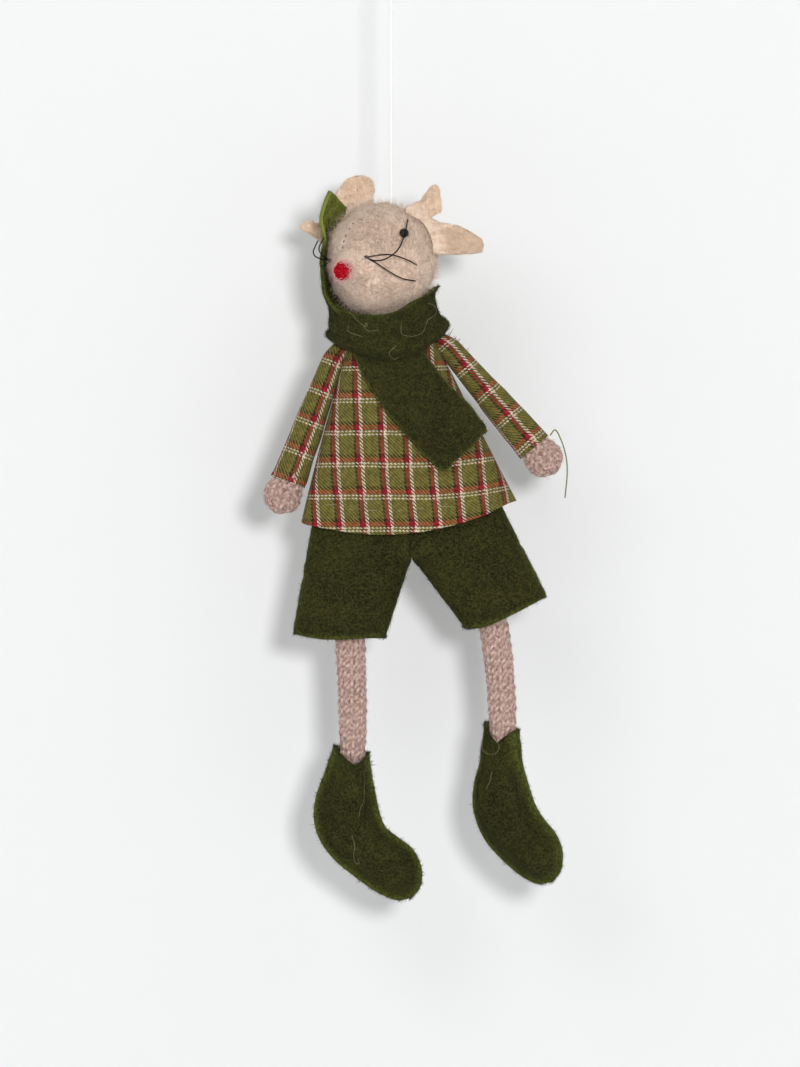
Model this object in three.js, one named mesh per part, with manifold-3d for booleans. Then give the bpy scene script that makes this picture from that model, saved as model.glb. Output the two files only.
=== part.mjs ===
// A hanging cloth mouse ornament: felt head, plaid tunic, felt scarf, shorts and boots, knitted limbs.
// Millimetres, +Z up, seen from -Y. The origin is where the hanging loop bears on its hook.
// Left and right are the mouse's own, so its left is +X.
import * as THREE from "three";
import { mergeVertices } from "three/addons/utils/BufferGeometryUtils.js";
import Module from "manifold-3d";

const wasm = await Module();
wasm.setup();

// Clearances and cloths
const seam = 0.3;
const turnRoom = 1;
const feltThickness = 1.1;
const clothThickness = 0.7;
const stripThickness = 1.3;
const overrun = 3;

// Hanging cord
const cordDiameter = 0.8;
const cordLength = 69.9;
const loopLength = 16;
const loopWidth = 7;
const knotDiameter = 2.6;

// Head, with its snout turned to the mouse's right
const headRadius = 15.7;
const snoutReach = 19;
const snoutYaw = 33;
const snoutPitch = 9.5;
const headSide = -2.24;
const pomDiameter = 5.3;
const eyeDiameter = 2.3;
const eyeAcross = 49.5;
const eyeRise = 26;
const whiskerDiameter = 0.4;
const earThickness = 1.2;
const earForwardLeft = 6.4;
const earBackRight = 8.6;

// Neck and scarf
const neckSide = -0.8;
const neckDrop = 17.4;
const neckDiameter = 9;
const plugDepth = 4;
const wrapRadius = 17;
const wrapThickness = 2.4;
const wrapHeight = 15.6;
const wrapSideTop = 9.2;
const wrapDrop = 6.2;
const neckTurn = 20;
const backTailHeight = 27.1;
const backTailWidth = 15;
const frontTailTop = 12.1;
const frontTailDrop = 32.1;
const frontTailWidth = 19.5;

// Tunic, measured down its own axis from the neck
const torsoLean = 5.6;
const shirtTop = 8;
const shirtHem = 54;
const hemDroop = 6.2;
const shirtTopWidth = 26;
const shirtHemWidth = 60.6;
const shirtTopDepth = 16.4;
const shirtHemDepth = 24;

// Stuffed torso
const torsoTop = 3.6;
const torsoLength = 61.7;
const torsoWidth = 45;
const torsoDepth = 13.4;

// Arms and sleeves
const shoulderDrop = 9.9;
const shoulderSpan = 32.8;
const sleeveLength = 36.3;
const sleeveTopWidth = 6.4;
const cuffWidth = 10.2;
const cuffDepth = 9.2;
const handReach = 9;
const handWidth = 9.6;
const cuffThreadDiameter = 0.4;
const cuffThreadReach = 17.5;
const cuffThreadOut = 4.2;
const armAngleLeft = 40.7;
const armAngleRight = 20.6;

// Shorts, measured from the crotch, and the legs
const shortsLean = 8.3;
const crotchDrop = 66.7;
const waistRise = 24;
const waistWidth = 45;
const hipWidth = 61;
const shortsHemWidth = 72;
const legGap = 21;
const innerSeam = 21.4;
const outerRise = 4.8;
const shortsDepth = 16.2;
const shortsHemDepth = 12.8;
const hipSpan = 37.6;
const legDiameter = 8.4;
const ankleDiameter = 7.4;
const legLength = 47.8;
const legSweepLeft = 6.5;
const legSweepRight = 2;

// Boots
const bootHeight = 41.3;
const bootWidth = 19;
const bootDepth = 12;
const ankleOpening = 10.4;
const legInBoot = 6;
const notchDepth = 5.3;
const bootTwistLeft = 25;

const degrees = Math.PI / 180;
const rings = { head: 24, limb: 16, cloth: 32, torso: 24, shortsLeg: 20, boot: 20, bead: 12, whisker: 10 };
const squareShares = { torso: 0.1, shirt: 0.1, shorts: 0.12 };

const paint = (color, roughness, metalness = 0) =>
  new THREE.MeshStandardMaterial({ color, roughness, metalness });
const white = paint(0xf0eee8, 0.8);
const heather = paint(0xcdb7a5, 0.95);
const peach = paint(0xdec1a5, 0.95);
const red = paint(0xc8102e, 0.95);
const black = paint(0x0d0b0b, 0.2);
const umber = paint(0x2d1c14, 0.8);
const darkFelt = paint(0x3c451f, 0.95);
const plaid = paint(0x7d803c, 0.9);
const knit = paint(0xc8aca0, 0.95);
const wadding = paint(0xf2efe8, 1);

// A point list offset along its own normals in the plane of the list.
function offsetProfile(points, grow) {
  return points.map((p, i) => {
    const before = points[Math.max(i - 1, 0)];
    const after = points[Math.min(i + 1, points.length - 1)];
    const along = after.clone().sub(before).normalize();
    if (i === 0 || i === points.length - 1) return p.clone().setX(p.x + Math.sign(p.x) * grow);
    return new THREE.Vector2(p.x - along.y * grow, p.y + along.x * grow);
  });
}

// A closed skin over rings of equal count. Open ends are closed by fans; a wrapped skin joins its ends.
function loft(loops, wrapped = false) {
  const sides = loops[0].length;
  const points = loops.flat();
  const faces = [];
  const rows = wrapped ? loops.length : loops.length - 1;
  for (let i = 0; i < rows; i++)
    for (let j = 0; j < sides; j++) {
      const k = (j + 1) % sides;
      const next = ((i + 1) % loops.length) * sides;
      faces.push(i * sides + j, i * sides + k, next + k);
      faces.push(i * sides + j, next + k, next + j);
    }
  if (!wrapped) {
    const last = (loops.length - 1) * sides;
    for (const [start, flip] of [[0, true], [last, false]]) {
      const middle = new THREE.Vector3();
      for (let j = 0; j < sides; j++) middle.addScaledVector(points[start + j], 1 / sides);
      points.push(middle);
      for (let j = 0; j < sides; j++) {
        const pair = [start + j, start + ((j + 1) % sides)];
        if (flip) pair.reverse();
        faces.push(pair[0], pair[1], points.length - 1);
      }
    }
  }
  const geometry = new THREE.BufferGeometry().setFromPoints(points);
  geometry.setIndex(faces);
  return solidOf(geometry);
}

// A geometry as a solid, turned outwards if its faces point in.
function solidOf(source) {
  const bare = source.clone();
  bare.deleteAttribute("normal");
  bare.deleteAttribute("uv");
  const merged = mergeVertices(bare);
  const triVerts = new Uint32Array(merged.index.array);
  const p = merged.attributes.position;
  const corner = (i) => new THREE.Vector3().fromBufferAttribute(p, triVerts[i]);
  let volume = 0;
  for (let i = 0; i < triVerts.length; i += 3)
    volume += corner(i).dot(corner(i + 1).cross(corner(i + 2)));
  if (volume < 0)
    for (let i = 0; i < triVerts.length; i += 3)
      [triVerts[i + 1], triVerts[i + 2]] = [triVerts[i + 2], triVerts[i + 1]];
  return new wasm.Manifold(
    new wasm.Mesh({ numProp: 3, vertProperties: new Float32Array(p.array), triVerts }),
  );
}

const moved = (solid, matrix) => solid.transform(matrix.elements);

// The largest of the bodies that a cut leaves.
function largest(solid) {
  const bodies = solid.decompose();
  return bodies.reduce((a, b) => (b.volume() > a.volume() ? b : a));
}

function meshOf(name, solid, material) {
  const m = largest(solid).getMesh();
  const geometry = new THREE.BufferGeometry();
  const places = new Float32Array(m.numVert * 3);
  for (let i = 0; i < m.numVert; i++)
    places.set(m.vertProperties.subarray(i * m.numProp, i * m.numProp + 3), i * 3);
  geometry.setAttribute("position", new THREE.BufferAttribute(places, 3));
  geometry.setIndex(new THREE.BufferAttribute(m.triVerts, 1));
  geometry.computeVertexNormals();
  const mesh = new THREE.Mesh(geometry, material);
  mesh.name = name;
  return mesh;
}

const power = (value, exponent) => Math.sign(value) * Math.abs(value) ** exponent;

// A round of half widths a (along X) and b (along Y) at height z, squared by its square share.
function round(x, y, z, a, b, count, squareShare = 0) {
  const bend = 1 - squareShare;
  return Array.from({ length: count }, (_, i) => {
    const angle = ((i + 0.5) / count) * 2 * Math.PI;
    return new THREE.Vector3(
      x + a * power(Math.cos(angle), bend),
      y + b * power(Math.sin(angle), bend),
      z,
    );
  });
}

function box(x0, x1, y0, y1, z0, z1) {
  const shape = new THREE.BoxGeometry(x1 - x0, y1 - y0, z1 - z0);
  return solidOf(shape.translate((x0 + x1) / 2, (y0 + y1) / 2, (z0 + z1) / 2));
}

function post(x, y, z0, z1, radius, count = rings.limb) {
  const shape = new THREE.CylinderGeometry(radius, radius, z1 - z0, count);
  return solidOf(shape.rotateX(Math.PI / 2).translate(x, y, (z0 + z1) / 2));
}

function ball(x, y, z, radius, count = rings.limb) {
  const shape = new THREE.SphereGeometry(radius, count, count / 2);
  return solidOf(shape.rotateX(Math.PI / 2).translate(x, y, z));
}

// A thread or cord along chosen points.
function thread(points, radius, steps, sides) {
  const path = new THREE.CatmullRomCurve3(points);
  const section = new THREE.Shape();
  for (let i = 0; i < sides; i++) {
    const angle = (i / sides) * 2 * Math.PI;
    section[i ? "lineTo" : "moveTo"](radius * Math.cos(angle), radius * Math.sin(angle));
  }
  section.closePath();
  return solidOf(new THREE.ExtrudeGeometry(section, { steps, extrudePath: path }));
}

// A felt piece: rows of middle points, thickened along Y or X.
function slab(rows, thickness, along) {
  const half = along.clone().multiplyScalar(thickness / 2);
  const loops = rows.map((row) => [
    ...row.map((p) => p.clone().sub(half)),
    ...row.map((p) => p.clone().add(half)).reverse(),
  ]);
  return loft(loops);
}

// Places that follow from the sizes
const ropeRadius = cordDiameter / 2;
const knotRadius = knotDiameter / 2;
const knotZ = cordDiameter - loopLength - knotRadius / 2;
const cordTop = knotZ - knotRadius - seam;
const crownZ = cordTop - cordLength;
const headRise = Math.sqrt(headRadius ** 2 - headSide ** 2);
const head = new THREE.Vector3(headSide, 0, crownZ - headRise);
const neck = new THREE.Vector3(neckSide, 0, head.z - neckDrop);
const neckRadius = neckDiameter / 2;

const turnY = (angle) => new THREE.Matrix4().makeRotationY(angle * degrees);
const turnZ = (angle) => new THREE.Matrix4().makeRotationZ(angle * degrees);
const shift = (v) => new THREE.Matrix4().makeTranslation(v.x, v.y, v.z);
const down = (x, z) => new THREE.Vector3(x, 0, -z);

const torsoFrame = shift(neck).multiply(turnY(-torsoLean));
const intoTorso = torsoFrame.clone().invert();
const crotchFrame = torsoFrame.clone().multiply(shift(down(0, crotchDrop)));
const shortsFrame = crotchFrame.multiply(turnY(torsoLean - shortsLean));
const shoulder = (side) => down((side * shoulderSpan) / 2, shoulderDrop).applyMatrix4(torsoFrame);
const torsoBottom = torsoTop + torsoLength;
const legRadius = legDiameter / 2;
const hip = (side) => down((side * hipSpan) / 2, torsoBottom + seam + legRadius).applyMatrix4(torsoFrame);

// Head: a ball drawn out into a snout, turned about the snout's own axis
const snoutShares = [[0.3, 0.56], [0.57, 0.38], [0.82, 0.23], [0.95, 0.12], [1, 0]];
const cheekAngle = 48;
const snoutAcross = new THREE.Vector3(Math.cos(snoutYaw * degrees), -Math.sin(snoutYaw * degrees), 0);
const snoutAhead = new THREE.Vector3(-Math.sin(snoutYaw * degrees), -Math.cos(snoutYaw * degrees), 0);
const snoutAxis = snoutAhead
  .clone()
  .multiplyScalar(Math.cos(snoutPitch * degrees))
  .setZ(-Math.sin(snoutPitch * degrees));
const snoutUp = snoutAxis.clone().cross(snoutAcross);
const headFrame = shift(head).multiply(new THREE.Matrix4().makeBasis(snoutAcross, snoutUp, snoutAxis));

// The head's half outline as (along the snout axis, radius).
function headOutline() {
  const steps = 11;
  const arc = Array.from({ length: steps + 1 }, (_, i) => {
    const angle = (180 - ((180 - cheekAngle) * i) / steps) * degrees;
    return new THREE.Vector2(headRadius * Math.cos(angle), headRadius * Math.sin(angle));
  });
  const cheek = arc[steps].x;
  const snout = snoutShares.map(
    ([along, out]) => new THREE.Vector2(cheek + (snoutReach - cheek) * along, headRadius * out),
  );
  return [...arc, ...snout];
}

function headSolid(grow) {
  const outline = offsetProfile(headOutline(), grow);
  const turned = outline.map((p) => new THREE.Vector2(Math.max(p.y, 0), p.x));
  turned[0].x = 0;
  turned[turned.length - 1].x = 0;
  const shape = new THREE.LatheGeometry(turned, rings.head).rotateX(Math.PI / 2);
  return moved(solidOf(shape), headFrame);
}

// Where the head's front lies at a place beside and above its middle, with a lift off the surface.
// Past the head's side it stays level with the muzzle.
const muzzleShare = 0.66;

function headFront(x, rise, lift) {
  const outline = headOutline();
  const outside = (y) => {
    const p = new THREE.Vector3(x, y, rise);
    const along = p.dot(snoutAxis);
    const out = Math.sqrt(Math.max(p.lengthSq() - along ** 2, 0));
    const i = outline.findIndex((q) => q.x > along);
    if (i < 1) return true;
    const share = (along - outline[i - 1].x) / (outline[i].x - outline[i - 1].x);
    return out > outline[i - 1].y + share * (outline[i].y - outline[i - 1].y);
  };
  const reach = 2 * headRadius;
  const steps = 400;
  for (let i = 0; i <= steps; i++) {
    const y = -reach + (reach * i) / steps;
    if (!outside(y)) return new THREE.Vector3(head.x + x, head.y + y - lift, head.z + rise);
  }
  return new THREE.Vector3(head.x + x, head.y - muzzleShare * headRadius - lift, head.z + rise);
}

const headSkin = headSolid(0);
const headRoom = headSolid(seam);
const pocketRadius = knotRadius + seam;
const anchorZ = crownZ - feltThickness - seam - knotRadius;
const plugTop = head.z - headRadius + feltThickness + plugDepth;

function makeHead() {
  const crownHole = post(0, 0, crownZ - overrun, crownZ + overrun, ropeRadius + seam);
  const neckBore = post(neck.x, neck.y, neck.z - overrun, plugTop + seam, neckRadius + seam);
  const pocket = post(0, 0, anchorZ - pocketRadius, crownZ, pocketRadius);
  const cover = headSkin.subtract(headSolid(-feltThickness)).subtract(crownHole).subtract(neckBore);
  const filling = headSolid(-feltThickness - seam).subtract(pocket).subtract(neckBore);
  return [meshOf("head_cover", cover, heather), meshOf("head_filling", filling, wadding)];
}

function makeNose() {
  const radius = pomDiameter / 2;
  const middle = snoutAxis.clone().multiplyScalar(snoutReach + radius - seam).add(head);
  return meshOf("nose_pompom", ball(middle.x, middle.y, middle.z, radius).subtract(headRoom), red);
}

// Both eyes stand the same way out from the snout's plane.
function eyeDirection(side) {
  const rise = Math.sin(eyeRise * degrees);
  const out = Math.sin(eyeAcross * degrees) * side;
  return new THREE.Vector3(0, 0, rise)
    .addScaledVector(snoutAcross, out)
    .addScaledVector(snoutAhead, Math.sqrt(1 - rise ** 2 - out ** 2));
}

function makeEye(name, side) {
  const radius = eyeDiameter / 2;
  const middle = eyeDirection(side).multiplyScalar(headRadius + radius / 2).add(head);
  return meshOf(name, ball(middle.x, middle.y, middle.z, radius, rings.bead).subtract(headRoom), black);
}

// Whiskers: three strands from one knot. Shares of the head's radius: across, up, twice the way off the skin.
const threadSteps = 14;
const threadSides = 6;
const leftWhiskerShares = {
  knot: [-0.29, 0.02],
  strands: [
    [[-0.02, 0.06, 0.2], [0.18, 0.06, 0.35], [0.45, -0.03, 0.45], [0.62, -0.12, 0.5]],
    [[-0.12, -0.07, 0.22], [0.07, -0.2, 0.32], [0.34, -0.35, 0.38], [0.6, -0.4, 0.45]],
    [[-0.12, -0.04, 0.24], [0.09, 0, 0.36], [0.29, 0.16, 0.4], [0.4, 0.42, 0.45], [0.46, 0.7, 0.5]],
  ],
};
const rightWhiskerShares = {
  knot: [-0.84, 0.02],
  strands: [
    [[-1.05, -0.04, 0.1], [-1.16, 0.02, 0.2], [-1.22, 0.08, 0.24], [-1.2, 0.18, 0.26], [-1.13, 0.32, 0.28]],
    [[-1.03, 0.03, 0.14], [-1.1, 0.12, 0.24], [-1.1, 0.22, 0.27], [-1.03, 0.37, 0.3]],
    [[-0.96, -0.09, 0.12], [-1.1, -0.17, 0.2], [-1.2, -0.2, 0.22]],
  ],
};

function makeWhiskers(name, shares) {
  const radius = whiskerDiameter / 2;
  const place = ([across, up, off]) =>
    headFront(across * headRadius, up * headRadius, (off * headRadius) / 2 + radius + seam);
  const knot = headFront(shares.knot[0] * headRadius, shares.knot[1] * headRadius, radius);
  let whiskers = ball(knot.x, knot.y, knot.z, whiskerDiameter, rings.whisker);
  for (const strand of shares.strands) {
    const points = [knot, ...strand.map(place)];
    whiskers = whiskers.add(thread(points, radius, threadSteps, threadSides));
  }
  return meshOf(name, whiskers.subtract(headRoom), umber);
}

// Ears: folded felt leaves, outlined in shares of the head's radius from its middle.
const leftEarShares = [
  [0.44, 0.93], [0.67, 1.05], [0.77, 1.1], [0.85, 1.21], [0.92, 1.32], [0.99, 1.3],
  [1.03, 1.17], [1.06, 0.85], [0.97, 0.87], [0.86, 0.82], [0.84, 0.76], [1.01, 0.66],
  [1.17, 0.64], [1.4, 0.58], [1.6, 0.47], [1.75, 0.38], [1.8, 0.3], [1.8, 0.2],
  [1.75, 0.12], [1.5, 0.11], [1.1, 0.08], [0.94, 0.1], [0.7, 0.2], [0.5, 0.6],
];
const rightEarShares = [
  [-0.2, 0.7], [-0.16, 1.12], [-0.15, 1.3], [-0.16, 1.41], [-0.23, 1.48], [-0.41, 1.52],
  [-0.6, 1.47], [-0.72, 1.37], [-0.82, 1.19], [-0.93, 0.85], [-1.14, 0.66], [-1.33, 0.71],
  [-1.47, 0.61], [-1.26, 0.46], [-1.12, 0.35], [-0.9, 0.28], [-0.55, 0.4],
];

const earCurlShares = { left: 0.25, right: 0.1 };
const earCorners = 64;

// The ear's outline as a smooth leaf, curling away from the face as it goes out.
function makeEar(name, shares, seatY, curlShare) {
  const corners = shares.map(([x, z]) => new THREE.Vector2(x * headRadius, z * headRadius));
  const outline = new THREE.SplineCurve([...corners, corners[0]]).getPoints(earCorners);
  const shape = new THREE.Shape(outline.slice(0, earCorners));
  const leaf = new THREE.ExtrudeGeometry(shape, { depth: earThickness, bevelEnabled: false, steps: 1 });
  leaf.rotateX(Math.PI / 2);
  const places = leaf.attributes.position;
  for (let i = 0; i < places.count; i++) {
    const out = Math.max(Math.hypot(places.getX(i), places.getZ(i)) - headRadius, 0);
    places.setY(i, places.getY(i) + seatY + curlShare * out);
  }
  leaf.translate(head.x, head.y, head.z);
  return meshOf(name, solidOf(leaf).subtract(headRoom), peach);
}

// The scarf's second end, a strip on edge that climbs the side of the head and turns its face to the front.
// Shares: up its height, across, and how far its back edge stands inwards of its front edge.
const backTailShares = [
  [0, -1.07, 0], [0.25, -1.1, 0], [0.49, -1.12, 0], [0.6, -1.14, 0.08],
  [0.72, -1.12, 0.26], [0.84, -1.07, 0.33], [1, -0.96, 0.27],
];
const backTailFrontShare = 0.6;
const backTailSlantShare = 0.15;
const tailColumns = 4;

function makeBackTail() {
  const bottom = neck.z + wrapHeight / 2 + seam + turnRoom;
  const rows = backTailShares.map(([up, across, turn]) =>
    Array.from({ length: tailColumns + 1 }, (_, j) => {
      const back = j / tailColumns;
      const x = head.x + across * headRadius + turn * back * backTailWidth;
      const y = backTailWidth * (back - backTailFrontShare);
      const rise = up * (1 - backTailSlantShare * up * back);
      return new THREE.Vector3(x, y, bottom + rise * backTailHeight);
    }),
  );
  const strip = slab(rows, stripThickness, new THREE.Vector3(1, 0, 0));
  return strip.subtract(headSolid(seam));
}

// The tunic: an open, flaring tube with soft folds that deepen to the hem
const foldShare = 0.018;
const foldCount = 7;

function shirtSpan(z) {
  const share = (z - shirtTop) / (shirtHem - shirtTop);
  return {
    width: (shirtTopWidth + (shirtHemWidth - shirtTopWidth) * share) / 2,
    depth: (shirtTopDepth + (shirtHemDepth - shirtTopDepth) * share) / 2,
  };
}

function shirtRing(share, grow) {
  const count = rings.cloth;
  return Array.from({ length: count }, (_, i) => {
    const angle = ((i + 0.5) / count) * 2 * Math.PI;
    const across = power(Math.cos(angle), 1 - squareShares.shirt);
    const deep = power(Math.sin(angle), 1 - squareShares.shirt);
    const hem = shirtHem + hemDroop * (1 - across ** 2);
    const z = shirtTop + (hem - shirtTop) * share;
    const span = shirtSpan(shirtTop + (shirtHem - shirtTop) * share);
    const fold = 1 + foldShare * share ** 2 * Math.cos(foldCount * angle);
    return new THREE.Vector3((span.width * fold + grow) * across, (span.depth * fold + grow) * deep, -z);
  });
}

const shirtShares = [0, 0.14, 0.28, 0.42, 0.56, 0.7, 0.85, 1];

// The tunic's outside as a filled form, for what must clear it.
function shirtForm(grow) {
  return loft(shirtShares.map((share) => shirtRing(share, grow)));
}

function makeShirt() {
  const outside = shirtShares.map((share) => shirtRing(share, 0));
  const inside = shirtShares.map((share) => shirtRing(share, -clothThickness)).reverse();
  let shirt = loft([...outside, ...inside], true);
  for (const side of [-1, 1])
    for (const turn of [0, armIn(side)])
      shirt = shirt.subtract(moved(sleeveForm(side, seam, turn), intoTorso));
  return meshOf("shirt_body", shirt, plaid);
}

// A sleeve or arm: rounds down an axis from the shoulder, (along, half width, half depth).
function limb(sizes) {
  return loft(sizes.map(([z, a, b]) => round(0, 0, -z, a, b, rings.limb)));
}

const sleeveRadius = sleeveTopWidth / 2;
const domeAngles = [84, 60, 35, 0];

// The round top of a limb, as the first rings of its table.
function dome(radius) {
  return domeAngles.map((angle) => [
    -radius * Math.sin(angle * degrees),
    radius * Math.cos(angle * degrees),
    radius * Math.cos(angle * degrees),
  ]);
}

function sleeveSizes(grow, run) {
  const midWidth = (sleeveTopWidth + cuffWidth) / 4 + grow;
  const midDepth = (sleeveTopWidth + cuffDepth) / 4 + grow;
  return [
    ...dome(sleeveRadius + grow),
    [sleeveLength / 2, midWidth, midDepth],
    [sleeveLength + run, cuffWidth / 2 + grow, cuffDepth / 2 + grow],
  ];
}

const armTurn = (side) => turnY(side > 0 ? -armAngleLeft : armAngleRight);
const armFrame = (side) => shift(shoulder(side)).multiply(armTurn(side));

// How far an arm swings in from rest: the left one comes down as close to the tunic as the right one hangs.
const armIn = (side) => (side > 0 ? armAngleLeft - armAngleRight - 2 * torsoLean : 0);

function sleeveForm(side, grow, swing) {
  const frame = armFrame(side).multiply(turnY(swing));
  return moved(limb(sleeveSizes(grow, 0)), frame);
}

function makeSleeve(name) {
  const hollow = limb(sleeveSizes(-clothThickness, overrun));
  const sleeve = limb(sleeveSizes(0, 0)).subtract(hollow);
  return meshOf(name, sleeve, plaid);
}

// The hand past the cuff, in shares of its reach, half width and half depth.
const handShares = [[0.3, 0.97, 0.94], [0.55, 1, 0.96], [0.8, 0.8, 0.78], [0.95, 0.42, 0.4], [1, 0.12, 0.12]];

function makeArm(name) {
  const top = sleeveRadius - clothThickness - seam;
  const wrist = cuffDepth / 2 - clothThickness - seam;
  const hand = handWidth / 2;
  const sizes = [
    ...dome(top),
    [sleeveLength / 2, (top + wrist) / 2, (top + wrist) / 2],
    [sleeveLength, wrist, wrist],
    ...handShares.map(([along, wide, deep]) => [sleeveLength + handReach * along, hand * wide, hand * deep]),
  ];
  return meshOf(name, limb(sizes), knit);
}

// A pulled thread that hangs from the outer edge of the left cuff. Shares: out, up.
const cuffThreadShares = [[0, 0], [0.4, 0.08], [0.95, -0.22], [1.15, -0.55], [1, -1]];

function makeCuffThread() {
  const turn = armTurn(1);
  const edge = new THREE.Vector3(cuffWidth / 2, 0, -sleeveLength).applyMatrix4(turn).add(shoulder(1));
  const radius = cuffThreadDiameter / 2;
  const points = cuffThreadShares.map(
    ([out, rise]) =>
      new THREE.Vector3(edge.x + seam + radius + out * cuffThreadOut, 0, edge.z + rise * cuffThreadReach),
  );
  return meshOf("cuff_thread", thread(points, radius, threadSteps, threadSides), plaid);
}

// Stuffed torso, flat and widening down, with the neck stump that the head turns on.
// Shares: down its length, half width, half depth.
const torsoShares = [
  [0, 0.1, 0.45], [0.03, 0.36, 0.82], [0.1, 0.545, 0.97], [0.27, 0.6, 1], [0.5, 0.74, 0.98],
  [0.75, 0.91, 0.94], [0.91, 1, 0.88], [0.975, 0.98, 0.74], [1, 0.91, 0.5],
];

function torsoBody(grow) {
  const loops = torsoShares.map(([along, wide, deep]) => {
    const a = (torsoWidth / 2) * wide + grow;
    const b = (torsoDepth / 2) * deep + grow;
    return round(0, 0, -(torsoTop + torsoLength * along), a, b, rings.torso, squareShares.torso);
  });
  return loft(loops);
}

function makeTorso() {
  const stump = post(neck.x, neck.y, neck.z - torsoTop - overrun, plugTop, neckRadius);
  return meshOf("torso", torsoBody(0).add(moved(stump, intoTorso)), wadding);
}

// Scarf: a felt strip wound round the neck, low under the chin and high behind.
const wrapShares = [[0, 0.74], [0.1, 0.9], [0.25, 1], [0.45, 0.96], [0.65, 0.92], [0.85, 0.94], [1, 0.97]];
const wrapFlatShare = 0.86;
const wrapHemShare = 0.85;
const wrapDropPower = 1.5;

function makeWrap() {
  const count = rings.cloth;
  const lean = head.x - neck.x;
  const sections = Array.from({ length: count }, (_, i) => {
    const angle = (i / count) * 2 * Math.PI;
    const front = Math.max(-Math.sin(angle), 0) ** wrapDropPower;
    const top = wrapSideTop - (wrapDrop + turnRoom) * front;
    const bottom = wrapSideTop - wrapHeight - wrapDrop * front * wrapHemShare;
    const at = ([share, out], inset) => {
      const radius = wrapRadius * out - inset;
      return new THREE.Vector3(
        lean * share + radius * Math.cos(angle),
        radius * wrapFlatShare * Math.sin(angle),
        bottom + (top - bottom) * share,
      );
    };
    const outer = wrapShares.map((row) => at(row, 0));
    const inner = wrapShares.map((row) => at(row, wrapThickness)).reverse();
    return [...outer, ...inner];
  });
  let wrap = loft(sections, true);
  const room = headSolid(turnRoom);
  for (const turn of [-neckTurn, 0, neckTurn]) {
    const about = shift(neck).multiply(turnZ(turn)).multiply(shift(neck.clone().negate()));
    wrap = wrap.subtract(moved(moved(room, about), intoTorso));
  }
  wrap = wrap.subtract(shirtForm(seam)).subtract(torsoBody(seam));
  for (const side of [-1, 1]) {
    const p = down((side * shoulderSpan) / 2, shoulderDrop);
    wrap = wrap.subtract(ball(p.x, p.y, p.z, sleeveRadius + seam));
  }
  return wrap;
}

// The scarf's front end, laid slantwise over the tunic. Shares of its width at the top, and down its drop.
const frontTailShares = {
  inner: [[-0.477, 0.022], [-0.297, 0.28], [0.082, 0.636], [0.426, 0.91], [0.59, 1]],
  outer: [[0.523, 0], [0.759, 0.224], [1.056, 0.445], [1.2, 0.589], [1.272, 0.667]],
};
const frontTailCurveShare = 0.25;

function makeFrontTail() {
  const rows = frontTailShares.inner.map((from, i) => {
    const to = frontTailShares.outer[i];
    return Array.from({ length: tailColumns + 1 }, (_, j) => {
      const across = from[0] + ((to[0] - from[0]) * j) / tailColumns;
      const drop = from[1] + ((to[1] - from[1]) * j) / tailColumns;
      const x = across * frontTailWidth;
      const z = frontTailTop + drop * frontTailDrop;
      const span = shirtSpan(z);
      const bulge = span.depth * (1 - frontTailCurveShare * (x / span.width) ** 2);
      const y = -bulge - stripThickness / 2 - 2 * seam;
      return new THREE.Vector3(x, y, -z);
    });
  });
  return slab(rows, stripThickness, new THREE.Vector3(0, 1, 0));
}

// Shorts: flat felt, cut as a front and a back, each leg splayed. Local z is 0 at the crotch.
const shortsLegShares = [0, 0.35, 0.7, 1];

function shortsForm(inset, run) {
  const deep = shortsDepth / 2 - inset;
  const band = (z, width, tuck) =>
    round(0, 0, z, width / 2 - inset - tuck, deep - tuck, rings.cloth, squareShares.shorts);
  const hips = loft([
    band(waistRise + run, waistWidth, 0),
    band(waistRise / 2, (waistWidth + hipWidth) / 2, 0),
    band(0, hipWidth, 0),
    band(-2 * seam, hipWidth, seam),
  ]);
  const leg = (side) => {
    const rows = run ? [...shortsLegShares, 1 + run / innerSeam] : shortsLegShares;
    return loft(
      rows.map((share) => {
        const inner = (legGap / 2) * share + inset;
        const outer = hipWidth / 2 + ((shortsHemWidth - hipWidth) / 2) * share - inset;
        const innerZ = -innerSeam * share + (1 - share) * feltThickness;
        const outerZ = -(innerSeam - outerRise) * share + (1 - share) * feltThickness;
        const b = shortsDepth / 2 + ((shortsHemDepth - shortsDepth) / 2) * Math.min(share, 1) - inset;
        return round(0, 0, 0, 1, b, rings.shortsLeg, squareShares.shorts).map((p) => {
          const across = (1 + side * p.x) / 2;
          return new THREE.Vector3(
            side * (inner + (outer - inner) * across),
            p.y,
            innerZ + (outerZ - innerZ) * across,
          );
        });
      }),
    );
  };
  return hips.add(leg(1)).add(leg(-1));
}

function makeShorts(front) {
  const felt = shortsForm(0, 0).subtract(shortsForm(feltThickness, overrun));
  const far = shortsHemWidth;
  const half = front
    ? box(-far, far, -far, -seam / 2, -far, far)
    : box(-far, far, seam / 2, far, -far, far);
  return felt.intersect(half);
}

// Legs: knitted tubes that leave the hips at a slant and hang straight at the ankles
const legSide = (side) => (side > 0 ? legSweepLeft : legSweepRight);
const ankle = (side) => hip(side).add(new THREE.Vector3(legSide(side), 0, -legLength));

// Shares down the leg as far as the ankle, and the thinning of its end inside the boot.
const legShares = [0, 0.12, 0.3, 0.5, 0.7, 0.88, 1];
const legEndShares = [[0.65, 0.95], [1, 0.6]];

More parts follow.
